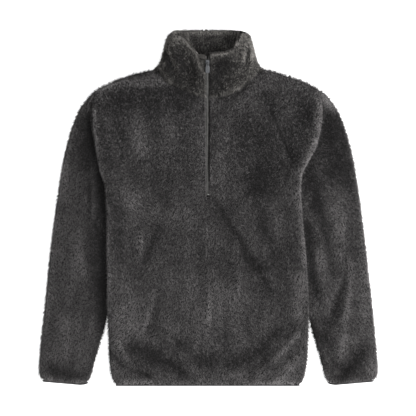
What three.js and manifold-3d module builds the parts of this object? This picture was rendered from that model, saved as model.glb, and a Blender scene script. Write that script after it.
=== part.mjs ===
// Half-zip pullover in plush fleece, laid flat on its back.
// Millimetres. +X is to the right seen from above, +Y runs to the collar, +Z up from the surface.
// "Left" and "right" are as seen from above.

import * as THREE from "three";
import Module from "manifold-3d";

// Cloth
const FLEECE = 6;
const COLLAR_WALL = 9;
const SEAM_GAP = 0.3;
const LAYER_GAP = 0.5;
const BODY_LEVEL = 15.5;
const LOWEST_LEVEL = 2 * FLEECE + 2 * LAYER_GAP;

// Sides of the body, from hem to shoulder
const BODY_EDGE = [
  { y: -388, left: -204, right: 203 },
  { y: -380, left: -210, right: 210 },
  { y: -366, left: -214.5, right: 214.5 },
  { y: -326, left: -219, right: 220.5 },
  { y: -252, left: -222, right: 223.3 },
  { y: -203, left: -223.5, right: 222.2 },
  { y: -122, left: -224.5, right: 218 },
  { y: -49, left: -225.3, right: 211.4 },
  { y: 10, left: -226.5, right: 207 },
  { y: 45, left: -228, right: 205.6 },
  { y: 70, left: -235.2, right: 207 },
  { y: 94, left: -241.4, right: 217 },
  { y: 119, left: -246.4, right: 231.5 },
  { y: 142, left: -250.5, right: 241.5 },
  { y: 180, left: -255.2, right: 248 },
  { y: 221, left: -256.6, right: 249.5 },
  { y: 250, left: -250.5, right: 247 },
  { y: 266, left: -244.5, right: 244.5 },
];

// How the front turns under at its sides: how far in, the height of its seam,
// of the overhang's underside and of its top.
const SIDE_FOLD = [
  { y: -388, tuck: 3, seam: 6.5, under: 7.2, top: 13.6 },
  { y: -360, tuck: 3, seam: 6.5, under: 7.2, top: 17 },
  { y: -305, tuck: 3, seam: 6.5, under: 7.2, top: 17 },
  { y: -262, tuck: 14, seam: 6.5, under: 13, top: 25.5 },
  { y: 185, tuck: 14, seam: 6.5, under: 13, top: 25.5 },
  { y: 222, tuck: 0, seam: 9.3, under: 13, top: 19 },
  { y: 245, tuck: 0, seam: 9.3, under: 11, top: BODY_LEVEL },
  { y: 266, tuck: 0, seam: 9.3, under: 11, top: BODY_LEVEL },
];
const UNDERARM_Y = 48;
const FOLD_REACH = 8;
const FOLD_FADE = 34;
const FOLD_CLEAR = 0.05;
const FOLD_STEP = 1;

// Top outline of the shoulders, and the seam on the front where the back ends
const SHOULDER = [
  { x: 100, y: 311 },
  { x: 122, y: 307.5 },
  { x: 150, y: 301 },
  { x: 175, y: 293.5 },
  { x: 210, y: 281 },
  { x: 236, y: 268.5 },
  { x: 245, y: 263.2 },
];
const SHOULDER_SEAM = [
  { x: -246, y: 254 },
  { x: -236, y: 260 },
  { x: -225, y: 266 },
  { x: -214, y: 271 },
  { x: -181, y: 278 },
  { x: -148, y: 280.5 },
  { x: -80, y: 280.5 },
  { x: 95, y: 301.5 },
  { x: 122, y: 298.5 },
  { x: 150, y: 291.5 },
  { x: 170, y: 285 },
  { x: 200, y: 275 },
  { x: 223, y: 265.5 },
  { x: 246, y: 254 },
];
const SHOULDER_ROLL = 14;
const SHOULDER_REACH = SHOULDER_ROLL / 3;
const SHOULDER_SEAM_GAP = 5 * SEAM_GAP;
const NECKLINE = [
  { y: 243.3, left: -4, right: 4 },
  { y: 245, left: -16, right: 22 },
  { y: 249, left: -28, right: 39.5 },
  { y: 259, left: -49.5, right: 65.6 },
  { y: 266, left: -64.5, right: 75 },
  { y: 275, left: -84, right: 84 },
  { y: 292, left: -97, right: 98 },
  { y: 309, left: -110, right: 111 },
];
const BACK_NECK_Y = 300;
const BACK_NECK_HALF = 119.5;
const BACK_INSET = 1.2;
const BACK_NECK_RISE = 6;
const BACK_NECK_TURN = { from: 80, to: 108 };
const FRONT_GAUGE_Y = 200;
const SETTLE_TURNS = 8;
const HEM_Y = -388;
const HEM_ROLL = 22;
const HEM_FULLNESS = 0.25;

// Zip: centre line, slit in the front and collar, tapes
const ZIP_X = -1;
const ZIP_END_Y = 28;
const SLIT = [
  { y: ZIP_END_Y, left: -5, right: 3 },
  { y: 150, left: -6.5, right: 3.6 },
  { y: 290, left: -8.5, right: 4.2 },
  { y: 345, left: -8.5, right: 4.2 },
];
const TAPE_DEPTH = 2.5;
const TAPE_THICK = 1.4;
const TAPE_TOP_Y = 333;
const TAPE_SPREAD = { wide: 2.2, to: TAPE_TOP_Y + 6 };

// Large folds of the front: a ridge or trough from one end to the other
const FRONT_FOLDS = [
  { x0: 14, y0: 19, x1: 122, y1: -163, width: 15, height: -2.6 },
  { x0: 45, y0: 6, x1: 137, y1: -137, width: 19, height: 3 },
  { x0: 71, y0: -370, x1: 186, y1: -275, width: 13, height: -2.6 },
  { x0: 111, y0: -384, x1: 208, y1: -264, width: 12, height: 5.5 },
  { x0: 140, y0: -380, x1: 210, y1: -297, width: 10, height: -4 },
  { x0: 166, y0: -386, x1: 215, y1: -315, width: 10, height: 4 },
  { x0: -200, y0: -315, x1: -135, y1: -382, width: 11, height: -3.5 },
  { x0: -188, y0: -300, x1: -109, y1: -372, width: 14, height: 4 },
  { x0: -102, y0: -315, x1: -34, y1: -380, width: 13, height: -2.8 },
  { x0: -69, y0: -315, x1: -8, y1: -376, width: 15, height: 4.5 },
  { x0: -120, y0: -326, x1: 110, y1: -330, width: 14, height: -2.2 },
  { x0: 5, y0: -130, x1: 3, y1: -290, width: 15, height: 2.6 },
  { x0: 69, y0: -112, x1: 66, y1: -210, width: 12, height: 2 },
  { x0: -146, y0: -45, x1: -151, y1: -125, width: 13, height: 2 },
  { x0: -120, y0: -195, x1: -131, y1: -300, width: 15, height: -2.2 },
  { x0: 151, y0: 184, x1: 186, y1: 102, width: 10, height: -2.2 },
  { x0: 200, y0: 70, x1: 165, y1: -5, width: 13, height: -2.4 },
];
const SLEEVE_FOLDS = {
  left: [
    { x0: -256, y0: 75, x1: -257, y1: -20, width: 11, height: 2.2 },
    { x0: -346, y0: -300, x1: -308, y1: -370, width: 14, height: -2.6 },
    { x0: -300, y0: -120, x1: -312, y1: -250, width: 14, height: 1.8 },
  ],
  right: [
    { x0: 312, y0: -135, x1: 272, y1: -258, width: 11, height: -3 },
    { x0: 326, y0: -115, x1: 296, y1: -245, width: 11, height: 3.6 },
    { x0: 266, y0: -88, x1: 277, y1: -152, width: 9, height: -2.8 },
    { x0: 243, y0: -70, x1: 258, y1: -160, width: 10, height: 3 },
    { x0: 292, y0: -364, x1: 350, y1: -295, width: 14, height: -2.8 },
  ],
};

// Sleeve sections from shoulder to cuff, for the left one: the outer end and the inner end.
// Where the inner end runs under the body, its X follows the body's edge.
const SLEEVE_SECTIONS = [
  { outerX: -247.2, outerY: 262, innerX: null, innerY: 246, rise: 2.7 },
  { outerX: -266, outerY: 243, innerX: null, innerY: 229, rise: 0.4 },
  { outerX: -282, outerY: 220.5, innerX: null, innerY: 209, rise: 0 },
  { outerX: -295.5, outerY: 191, innerX: null, innerY: 180, rise: 0 },
  { outerX: -307, outerY: 156, innerX: null, innerY: 146, rise: 0 },
  { outerX: -316.3, outerY: 119, innerX: null, innerY: 110, rise: 0 },
  { outerX: -324.8, outerY: 73, innerX: null, innerY: 66, rise: 0 },
  { outerX: -331.5, outerY: 29, innerX: null, innerY: 24, rise: 0 },
  { outerX: -339, outerY: -26, innerX: null, innerY: -30, rise: 0 },
  { outerX: -346.3, outerY: -82, innerX: null, innerY: -85, rise: 0 },
  { outerX: -352.8, outerY: -143, innerX: null, innerY: -145, rise: 0 },
  { outerX: -358.6, outerY: -200, innerX: null, innerY: -200, rise: 0 },
  { outerX: -363.5, outerY: -248, innerX: -221, innerY: -246, rise: 0 },
  { outerX: -368, outerY: -290, innerX: -232, innerY: -287, rise: 0 },
  { outerX: -371.5, outerY: -328, innerX: -243.8, innerY: -325, rise: 0 },
  { outerX: -373, outerY: -352, innerX: -250.6, innerY: -351, rise: 0 },
  { outerX: -371, outerY: -368, innerX: -256, innerY: -372, rise: 0 },
  { outerX: -366.5, outerY: -378.5, innerX: -262, innerY: -387.5, rise: 0 },
];
const SLEEVE_EDGE = 2 * FLEECE + 0.35;
const SLEEVE_CROWN = 3.4;
const SLEEVE_PLUMP = { from: 20, to: 90 };
const SLEEVE_RUN_IN = 30;
const CUFF_FLAT = { from: 0.94, share: 0.5 };
const EDGE_TURN = { in: 0.3, up: 0.87 };
const LINING_CORNER = { near: 0.4, far: 1.6, part: 0.1, thin: 0.15, rise: 0.9 };
const SLEEVE_FLAT_INNER = 16;
const SLEEVE_INSET = 1;

// Collar rings from seam to rim: half width and the height of the front at its middle
const COLLAR_RINGS = [
  { up: 0, half: 118, front: 15.2, slitLeft: -8.5 },
  { up: 0.12, half: 109, front: 18.5, slitLeft: -8.5 },
  { up: 0.35, half: 103, front: 25, slitLeft: -9 },
  { up: 0.65, half: 97.5, front: 32, slitLeft: -14 },
  { up: 0.88, half: 91, front: 37, slitLeft: -21 },
  { up: 1, half: 86, front: 38.5, slitLeft: -25 },
];
const COLLAR_REST = COLLAR_WALL / 2;
const COLLAR_GAP = 1.5;
const COLLAR_SLIT_Y = 300;
const COLLAR_BLEND = 8;
const COLLAR_RIM = [
  { x: -88, y: 390 },
  { x: -78, y: 387 },
  { x: -60, y: 372 },
  { x: -38, y: 355 },
  { x: -24, y: 341 },
  { x: -8, y: 336 },
  { x: 20, y: 336 },
  { x: 42, y: 340.5 },
  { x: 58, y: 349 },
  { x: 71, y: 364 },
  { x: 79, y: 384 },
  { x: 88, y: 390 },
];
const COLLAR_BACK_RIM = [
  { x: -92, y: 384.5 },
  { x: -76, y: 391 },
  { x: 0, y: 391.3 },
  { x: 76, y: 391 },
  { x: 92, y: 384.5 },
];
const COLLAR_CREASE = { at: 0.8, width: 9, depth: 2.4 };

// Chin guard: a wedge beside the zip
const GUARD_FOOT_Y = 296;
const GUARD_TOP_Y = 332;
const GUARD_WALL = 4;
const GUARD_DEPTH = 2.5;
const GUARD_GAP = 0.02;

// Hem and cuff bindings
const BINDING_DEEP = 3;
const BINDING_THICK = 3.6;
const BINDING_LOW = 2.4;
const HEM_BINDING_HIGH = 9.3;
const HEM_BINDING_INSET = 6;
const CUFF_BINDING_HIGH = 9.4;
const CUFF_BINDING_INSET = 7;

// Zip slider and pull tab
const SLIDER_Y = 317;
const SLIDER_LONG = 15;
const SLIDER_CORNER = 1.4;
const SLIDER_WIDE_TOP = 8.4;
const SLIDER_WIDE_FOOT = 6.6;
const SLIDER_PLATE = 2.5;
const BRIDGE_WIDE = 2.2;
const BRIDGE_INNER = 1.8;
const BRIDGE_OUTER = 3.1;
const BRIDGE_ROOT = 0.4;
const HINGE_UP = 0;
const HINGE_HEIGHT = 4.7;
const TAB_THICK = 1.6;
const TAB_LONG = 21;
const TAB_WIDE = 9;
const TAB_WIDE_EYE = 6.6;
const EYE_WIDE = 3.6;
const EYE_END = 4.4;
const TAB_CORNER = 1.6;

// Grid fineness
const FRONT_COLUMNS = [0.08, 0.18, 0.29, 0.4, 0.5, 0.56, 0.61, 0.655, 0.7, 0.76, 0.84, 0.92, 1];
const FRONT_ROWS = 34;
const BACK_COLUMNS = 8;
const BACK_NECK_COLUMNS = [0.045, 0.1, 0.165, 0.5, 0.835, 0.9, 0.955];
const BACK_ROWS = 20;
const SLEEVE_ROWS = 24;
const SLEEVE_COLUMNS = 6;
const SLEEVE_UNDER_COLUMNS = 4;
const COLLAR_ROWS = 7;
const COLLAR_FRONT_COLUMNS = 9;
const COLLAR_BEND_COLUMNS = 5;
const COLLAR_BACK_COLUMNS = 8;
const TAPE_ROWS = 34;
const GUARD_ROWS = 6;
const HEM_COLUMNS = 20;
const CUFF_COLUMNS = 8;
const FOLD_STEPS = 2;
const ARC_STEPS = 12;

// Colours
const FLEECE_COLOUR = 0x3d3b3c;
const COLLAR_COLOUR = 0x353434;
const TAPE_COLOUR = 0x504f4d;
const BINDING_COLOUR = 0x1d1c1d;
const METAL_COLOUR = 0xb4b7ba;
const CLOTH_ROUGHNESS = 0.95;
const METAL_ROUGHNESS = 0.35;

const { clamp, lerp, smoothstep } = THREE.MathUtils;

// Smooth curve without overshoot through column `key` of rows sorted by column `by`
function curve(rows, by, key) {
  const sorted = [...rows].sort((a, b) => a[by] - b[by]);
  const at = sorted.map((row) => row[by]);
  const value = sorted.map((row) => row[key]);
  const last = at.length - 1;
  const slope = value.slice(1).map((next, i) => (next - value[i]) / (at[i + 1] - at[i]));
  const tangent = value.map((_, i) => {
    const before = slope[Math.max(i - 1, 0)];
    const after = slope[Math.min(i, last - 1)];
    return before * after <= 0 ? 0 : (2 * before * after) / (before + after);
  });
  return (position) => {
    const p = clamp(position, at[0], at[last]);
    const i = Math.min(at.findLastIndex((a) => a <= p), last - 1);
    const span = at[i + 1] - at[i];
    const t = (p - at[i]) / span;
    const rest = 1 - t;
    const start = value[i] * (1 + 2 * t) * rest * rest + tangent[i] * span * t * rest * rest;
    const end = value[i + 1] * (3 - 2 * t) * t * t - tangent[i + 1] * span * t * t * rest;
    return start + end;
  };
}

// Height added at a point by soft folds
function foldHeight(folds, x, y) {
  return folds.reduce((sum, fold) => {
    const along = new THREE.Vector2(fold.x1 - fold.x0, fold.y1 - fold.y0);
    const length = along.length();
    along.divideScalar(length);
    const from = new THREE.Vector2(x - fold.x0, y - fold.y0);
    const run = from.dot(along);
    const off = from.cross(along);
    const ends = smoothstep(run, -fold.width, fold.width)
      * smoothstep(length - run, -fold.width, fold.width);
    return sum + fold.height * ends * Math.exp(-((off / fold.width) ** 2));
  }, 0);
}

// Points along quadratic bends that pass through the middles of the legs of a control path
function bentPath(path, steps) {
  const middle = (a, b) => a.clone().lerp(b, 0.5);
  const points = [];
  for (let k = 1; k < path.length - 1; k += 1) {
    const start = k === 1 ? path[0] : middle(path[k - 1], path[k]);
    const end = k === path.length - 2 ? path[k + 1] : middle(path[k], path[k + 1]);
    const bend = new THREE.QuadraticBezierCurve(start, path[k], end);
    points.push(...bend.getPoints(steps).slice(k === 1 ? 0 : 1));
  }
  return points;
}

// Closed cloth wall between two matching grids of points [row][column].
// `keep` says which cells are cloth; `around` joins the last column to the first.
function clothWall(outer, inner, keep = () => true, around = false) {
  const rows = outer.length;
  const columns = outer[0].length;
  const cellColumns = around ? columns : columns - 1;
  const id = (r, c, side) => side * rows * columns + r * columns + (c % columns);
  const kept = (r, c) => {
    const column = around ? (c + columns) % columns : c;
    const inside = r >= 0 && r < rows - 1 && column >= 0 && column < cellColumns;
    return inside && keep(r, column);
  };
  const index = [];
  const quad = (a, b, c, d) => index.push(a, b, c, a, c, d);
  const rim = (r0, c0, r1, c1) => quad(id(r1, c1, 0), id(r0, c0, 0), id(r0, c0, 1), id(r1, c1, 1));
  for (let r = 0; r < rows - 1; r += 1) {
    for (let c = 0; c < cellColumns; c += 1) {
      if (!kept(r, c)) continue;
      quad(id(r, c, 0), id(r, c + 1, 0), id(r + 1, c + 1, 0), id(r + 1, c, 0));
      quad(id(r + 1, c, 1), id(r + 1, c + 1, 1), id(r, c + 1, 1), id(r, c, 1));
      if (!kept(r - 1, c)) rim(r, c, r, c + 1);
      if (!kept(r + 1, c)) rim(r + 1, c + 1, r + 1, c);
      if (!kept(r, c - 1)) rim(r + 1, c, r, c);
      if (!kept(r, c + 1)) rim(r, c + 1, r + 1, c + 1);
    }
  }
  const points = [...outer.flat(), ...inner.flat()];
  const geometry = new THREE.BufferGeometry().setFromPoints(points);
  if (enclosedVolume(points, index) < 0) index.reverse();
  geometry.setIndex(index);
  const flat = geometry.toNonIndexed();
  flat.computeVertexNormals();
  return flat;
}

function enclosedVolume(points, index) {
  let sum = 0;
  for (let i = 0; i < index.length; i += 3) {
    const [a, b, c] = [points[index[i]], points[index[i + 1]], points[index[i + 2]]];
    sum += a.dot(b.clone().cross(c));
  }
  return sum;
}

const steps = (count) => Array.from({ length: count + 1 }, (_, i) => i / count);
const at = (x, y, z) => new THREE.Vector3(x, y, z);

const edge = { left: curve(BODY_EDGE, "y", "left"), right: curve(BODY_EDGE, "y", "right") };
const fold = {
  tuck: curve(SIDE_FOLD, "y", "tuck"),
  seam: curve(SIDE_FOLD, "y", "seam"),
  under: curve(SIDE_FOLD, "y", "under"),
  top: curve(SIDE_FOLD, "y", "top"),
};
const slit = { left: curve(SLIT, "y", "left"), right: curve(SLIT, "y", "right") };
const neckX = { left: curve(NECKLINE, "y", "left"), right: curve(NECKLINE, "y", "right") };
const neckFromLeft = curve(NECKLINE, "left", "y");
const neckFromRight = curve(NECKLINE, "right", "y");
const neckY = (x) => (x < 0 ? neckFromLeft(x) : neckFromRight(x));
const shoulderY = curve(SHOULDER, "x", "y");
const seamY = curve(SHOULDER_SEAM, "x", "y");
const frontTopY = (x) => Math.min(neckY(x), seamY(x)) - SEAM_GAP;

// Where a column of the front, a share `f` of the way from its side fold to the zip, meets its top
function frontTop(side, f) {
  const sign = side === "left" ? 1 : -1;
  let x = lerp(edge[side](FRONT_GAUGE_Y), slit[side](FRONT_GAUGE_Y), f);
  for (let turn = 0; turn < SETTLE_TURNS; turn += 1) {
    const y = frontTopY(x);
    x = lerp(edge[side](y) + sign * FOLD_REACH, slit[side](y), f);
  }
  return { x, y: frontTopY(x) };
}

function backNeckY(x) {
  const turn = smoothstep(Math.abs(x), BACK_NECK_TURN.from, BACK_NECK_TURN.to);
  return BACK_NECK_Y + BACK_NECK_RISE * turn;
}

// Height of the front's pile at a point of its broad top
function frontHeight(x, y) {
  const inset = Math.min(x - edge.left(y), edge.right(y) - x) - FOLD_REACH;
  const side = Math.exp(-((Math.max(inset, 0) / FOLD_FADE) ** 2));
  const hem = smoothstep(y, HEM_Y, HEM_Y + HEM_ROLL);
  const plain = lerp(BODY_LEVEL, fold.top(y), side);
  const shaped = plain + foldHeight(FRONT_FOLDS, x, y) * hem;
  const turned = lerp(LOWEST_LEVEL, shaped, lerp(HEM_FULLNESS, 1, hem));
  return Math.max(turned, LOWEST_LEVEL);
}

// The turned-under side of the front at height y: distances in from the edge, and heights
function sidePaths(y) {
  const tuck = fold.tuck(y);
  const seam = fold.seam(y);
  const under = fold.under(y);
  const top = fold.top(y);
  const lining = Math.min(under + FLEECE, top - FLEECE) + FOLD_CLEAR;
  const deep = FLEECE + SEAM_GAP;
  const pair = (d, z) => new THREE.Vector2(d, z);
  const outer = [pair(tuck, seam), pair(tuck, under), pair(0, under), pair(0, top)];
  const inner = [pair(tuck + FLEECE, seam), pair(tuck + FLEECE, lining), pair(deep, lining)];
  outer.push(pair(FOLD_REACH, top));
  inner.push(pair(deep, lining), pair(FOLD_REACH + FOLD_STEP, top - FLEECE));
  return { outer: bentPath(outer, FOLD_STEPS), inner: bentPath(inner, FOLD_STEPS) };
}

// Front panel: columns run from the left side seam over the top to the right side seam
function frontGeometry() {
  const foldColumns = sidePaths(0).outer.length;
  const rows = steps(FRONT_ROWS);
  const columnsOf = (side) => {
    const corner = frontTop(side, 0).y;
    const order = [...Array(foldColumns).keys()];
    const turned = order.map((step) => ({ side, step, f: 0, top: corner }));
    const broad = FRONT_COLUMNS.map((f) => ({ side, step: -1, f, top: frontTop(side, f).y }));
    return [...turned, ...broad];
  };
  const columns = [...columnsOf("left"), ...columnsOf("right").reverse()];
  const outer = [];
  const inner = [];
  rows.forEach((v) => {
    const outerRow = [];
    const innerRow = [];
    columns.forEach(({ side, step, f, top }) => {
      const y = lerp(HEM_Y, top, v);
      const sign = side === "left" ? 1 : -1;
      const rim = edge[side](y);
      if (step >= 0) {
        const paths = sidePaths(y);
        const [o, i] = [paths.outer[step], paths.inner[step]];
        outerRow.push(at(rim + sign * o.x, y, o.y));
        innerRow.push(at(rim + sign * i.x, y, i.y));
        return;
      }
      const x = lerp(rim + sign * FOLD_REACH, slit[side](y), f);
      const z = frontHeight(x, y);
      outerRow.push(at(x, y, z));
      innerRow.push(at(x, y, z - FLEECE));
    });
    outer.push(outerRow);
    inner.push(innerRow);
  });
  const slitColumn = columns.length / 2 - 1;
  const lastTurned = columns.length - 2;
  const keep = (r, c) => {
    const y = outer[r][c].y;
    if (c === slitColumn) return outer[r + 1][c].y <= ZIP_END_Y + LAYER_GAP;
    return !((c === 0 || c === lastTurned) && y > UNDERARM_Y);
  };
  return clothWall(outer, inner, keep);
}

// Back panel: flat on the surface, rolled forward over each shoulder to its seam
function backGeometry() {
  const shares = steps(BACK_COLUMNS);
  const columns = [
    ...shares.map((f) => ({ f, side: "left" })),
    ...BACK_NECK_COLUMNS.map((f) => ({ f, side: "neck" })),
    ...shares.map((f) => ({ f, side: "right" })).reverse(),
  ];
  const signOf = (side) => (side === "left" ? -1 : 1);
  const sideX = (side, y) => {
    const inward = fold.tuck(y) + BACK_INSET;
    return edge[side](y) - signOf(side) * inward;
  };
  const flatX = ({ side, f }, y) => {
    if (side === "neck") return lerp(-BACK_NECK_HALF, BACK_NECK_HALF, f);
    return lerp(sideX(side, y), signOf(side) * BACK_NECK_HALF, f);
  };
  const topOf = (column) => {
    const x = flatX(column, SLEEVE_SECTIONS[0].outerY);
    if (column.side === "neck") return backNeckY(x) - SEAM_GAP;
    return shoulderY(Math.abs(x)) - SHOULDER_ROLL;
  };
  const outer = steps(BACK_ROWS).map((v) => columns.map((column) => {
    const y = lerp(HEM_Y, topOf(column), v);
    return at(flatX(column, y), y, 0);
  }));
  const inner = outer.map((row) => row.map((point) => at(point.x, point.y, FLEECE)));
  const stripX = ({ side, f }, y, reach) => {
    const beside = neckX.left(y) - BACK_INSET - SEAM_GAP;
    const free = side === "left" ? beside : BACK_NECK_HALF;
    const neck = lerp(signOf(side) * BACK_NECK_HALF, free, smoothstep(reach, 0, FLEECE));
    return lerp(sideX(side, y), neck, f);
  };
  const corner = { left: frontTop("left", 0).x, right: frontTop("right", 0).x };
  const rolls = columns.map((column) => {
    if (column.side === "neck") return null;
    const top = topOf(column) + SHOULDER_ROLL;
    let endX = stripX(column, top - SHOULDER_ROLL, SHOULDER_ROLL);
    let reach = SHOULDER_ROLL;
    for (let turn = 0; turn < SETTLE_TURNS; turn += 1) {
      endX = clamp(stripX(column, top - reach, reach), corner.left, corner.right);
      reach = Math.max(top - frontTopY(endX) - SHOULDER_SEAM_GAP, SHOULDER_REACH);
    }
    const level = frontHeight(endX, frontTopY(endX));
    const bottom = FLEECE + SEAM_GAP;
    const pair = (d, z) => new THREE.Vector2(d, z);
    const outside = [pair(SHOULDER_ROLL, 0), pair(0, 0), pair(0, level), pair(reach, level)];
    const inside = [
      pair(SHOULDER_ROLL, FLEECE), pair(bottom, FLEECE), pair(bottom, level - FLEECE),
      pair(reach, level - FLEECE),
    ];
    const pile = bentPath(outside, FOLD_STEPS + 1);
    const ground = bentPath(inside, FOLD_STEPS + 1);
    return pile.map((o, k) => {
      const y = top - o.x;
      const x = k < pile.length / 2 ? flatX(column, y) : stripX(column, y, o.x);
      return { outside: at(x, y, o.y), inside: at(x, top - ground[k].x, ground[k].y) };
    });
  });
  const rollRows = rolls[0].length - 1;
  for (let k = 1; k <= rollRows; k += 1) {
    const unused = (c, z) => at(outer[BACK_ROWS][c].x, outer[BACK_ROWS][c].y + k, z);
    outer.push(rolls.map((roll, c) => (roll ? roll[k].outside : unused(c, 0))));
    inner.push(rolls.map((roll, c) => (roll ? roll[k].inside : unused(c, FLEECE))));
  }
  const neckStart = shares.length - 1;
  const neckEnd = neckStart + BACK_NECK_COLUMNS.length + 1;
  const keep = (r, c) => r < BACK_ROWS || c < neckStart || c >= neckEnd;
  return clothWall(outer, inner, keep);
}

// Sleeve: a flat tube from shoulder to cuff, open to the body above the underarm
function sleeveGeometry(side) {
  const mirror = side === "left" ? 1 : -1;
  const sections = SLEEVE_SECTIONS.map((row, order) => {
    const inward = fold.tuck(row.innerY) - SLEEVE_INSET;
    const innerX = row.innerX === null
      ? edge[side](row.innerY) + mirror * inward
      : mirror * row.innerX;
    return { ...row, order, outerX: mirror * row.outerX, innerX };
  });
  const track = (key) => curve(sections, "order", key);
  const [outerX, outerY] = [track("outerX"), track("outerY")];
  const [innerX, innerY, rise] = [track("innerX"), track("innerY"), track("rise")];
  const round = SLEEVE_EDGE / 2;
  const outer = [];
  const inner = [];
  const innerYs = [];
  steps(SLEEVE_ROWS).forEach((v) => {
    const s = v * (sections.length - 1);
    const start = new THREE.Vector2(innerX(s), innerY(s));
    const end = new THREE.Vector2(outerX(s), outerY(s));
    const width = start.distanceTo(end);
    const flatEnd = Math.min(SLEEVE_FLAT_INNER, width / 2 - 1);
    const wide = smoothstep(width, SLEEVE_PLUMP.from, SLEEVE_PLUMP.to);
    const plump = SLEEVE_CROWN * wide * (1 - CUFF_FLAT.share * smoothstep(v, CUFF_FLAT.from, 1));
    const place = (d, z) => {
      const p = start.clone().lerp(end, d / width);
      return at(p.x, p.y, z);
    };
    const crest = (d) => {
      const p = place(d, 0);
      const hump = smoothstep(d, flatEnd, flatEnd + SLEEVE_RUN_IN)
        * smoothstep(width - d, round, round + SLEEVE_RUN_IN);
      const lift = rise(s) * (1 - smoothstep(d, round, width / 2));
      const soft = foldHeight(SLEEVE_FOLDS[side], p.x, p.y) * hump;
      return Math.max(SLEEVE_EDGE + plump * hump + lift + soft, SLEEVE_EDGE);
    };
    const tip = EDGE_TURN.in * round;
    const high = EDGE_TURN.up * SLEEVE_EDGE;
    const low = SLEEVE_EDGE - high;
    const broad = steps(SLEEVE_COLUMNS).map((f) => lerp(flatEnd, width - round, f));
    const underShares = steps(SLEEVE_UNDER_COLUMNS).slice(1, -1).reverse();
    const under = underShares.map((f) => lerp(round, width - round, f));
    const lift = rise(s);
    const outerRow = [
      place(0, round), place(tip, high + lift), place(round, crest(round)),
      ...broad.map((d) => place(d, crest(d))),
      place(width - tip, high), place(width, round), place(width - tip, low),
      place(width - round, 0), ...under.map((d) => place(d, 0)), place(round, 0), place(tip, low),
    ];
    const thin = round - LINING_CORNER.thin;
    const [over, below] = [round + LINING_CORNER.part, round - LINING_CORNER.part];
    const [near, far] = [FLEECE + LINING_CORNER.near, FLEECE + LINING_CORNER.far];
    const innerRow = [
      place(FLEECE, round), place(near, over + lift * LINING_CORNER.rise),
      place(far, crest(round) - FLEECE),
      ...broad.map((d) => place(Math.min(d, width - far), crest(d) - FLEECE)),
      place(width - near, over), place(width - FLEECE, round), place(width - near, below),
      place(width - far, thin), ...under.map((d) => place(d, FLEECE)), place(far, thin), place(near, below),
    ];
    outer.push(outerRow);
    inner.push(innerRow);
    innerYs.push(start.y);
  });
  const lastColumn = outer[0].length - 1;
  const keep = (r, c) => !((c === 0 || c === lastColumn) && innerYs[r] > UNDERARM_Y);
  return clothWall(outer, inner, keep, true);
}

// Collar ring at height share `up`: mid-wall points and outward normals round a flattened loop
const collarHalf = curve(COLLAR_RINGS, "up", "half");
const collarFront = curve(COLLAR_RINGS, "up", "front");
const collarSlit = curve(COLLAR_RINGS, "up", "slitLeft");
const rimFront = curve(COLLAR_RIM, "x", "y");
const rimBack = curve(COLLAR_BACK_RIM, "x", "y");

function collarFrontY(x, up) {
  return lerp(neckY(x) + COLLAR_GAP, rimFront(x), up);
}

function collarFrontHeight(x, up) {
  const half = collarHalf(up) - COLLAR_REST;
  const off = (Math.abs(x) - COLLAR_CREASE.at * half) / COLLAR_CREASE.width;
  const creased = Math.exp(-off * off);
  const depth = COLLAR_CREASE.depth * creased * Math.sin(Math.PI * clamp(up, 0, 1));
  return collarFront(up) - depth;
}

function collarGeometry() {
  const outer = [];
  const inner = [];
  const straight = steps(COLLAR_FRONT_COLUMNS);
  const bend = steps(COLLAR_BEND_COLUMNS).slice(1, -1);
  const backSteps = steps(COLLAR_BACK_COLUMNS);
  const slitRight = slit.right(COLLAR_SLIT_Y);
  steps(COLLAR_ROWS).forEach((up) => {
    const half = collarHalf(up) - COLLAR_REST;
    const radius = (collarFront(up) - COLLAR_REST) / 2;
    const straightEnd = half - radius;
    const path = [];
    const frontPoint = (x) => {
      const [y, z] = [collarFrontY(x, up), collarFrontHeight(x, up)];
      return { x, y, z, nx: 0, nz: 1 };
    };
    const backPoint = (x) => {
      const y = lerp(backNeckY(x) + SEAM_GAP, rimBack(x), up);
      return { x, y, z: COLLAR_REST, nx: 0, nz: -1 };
    };
    const sidePoint = (sign, f) => {
      const turn = Math.PI * f;
      const x = sign * (straightEnd + radius * Math.sin(turn));
      const share = (1 - Math.cos(turn)) / 2;
      const front = frontPoint(sign * straightEnd);
      const back = backPoint(sign * straightEnd);
      const z = COLLAR_REST + radius * (1 + Math.cos(turn));
      return { x, y: lerp(front.y, back.y, share), z, nx: sign * Math.sin(turn), nz: Math.cos(turn) };
    };
    straight.forEach((f) => path.push(frontPoint(lerp(collarSlit(up), -straightEnd, f))));
    bend.forEach((f) => path.push(sidePoint(-1, f)));
    backSteps.forEach((f) => path.push(backPoint(lerp(-straightEnd, straightEnd, f))));
    [...bend].reverse().forEach((f) => path.push(sidePoint(1, f)));
    [...straight].reverse().forEach((f) => path.push(frontPoint(lerp(slitRight, straightEnd, f))));
    const wall = COLLAR_REST;
    outer.push(path.map((p) => at(p.x + p.nx * wall, p.y, p.z + p.nz * wall)));
    inner.push(path.map((p) => at(p.x - p.nx * wall, p.y, p.z - p.nz * wall)));
  });
  return clothWall(outer, inner);
}

// Height of the cloth beside the zip, along the front and then the collar
const COLLAR_FOOT_Y = neckY(0) + COLLAR_GAP;
function zipLevel(y) {
  if (y <= COLLAR_FOOT_Y - COLLAR_BLEND) return frontHeight(ZIP_X, y);
  const up = clamp((y - COLLAR_FOOT_Y) / (rimFront(0) - COLLAR_FOOT_Y), 0, 1);
  const collarTop = collarFront(up) + COLLAR_REST;
  const blend = smoothstep(y, COLLAR_FOOT_Y - COLLAR_BLEND, COLLAR_FOOT_Y + COLLAR_BLEND);
  return lerp(frontHeight(ZIP_X, Math.min(y, COLLAR_FOOT_Y)), collarTop, blend);
}

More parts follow.
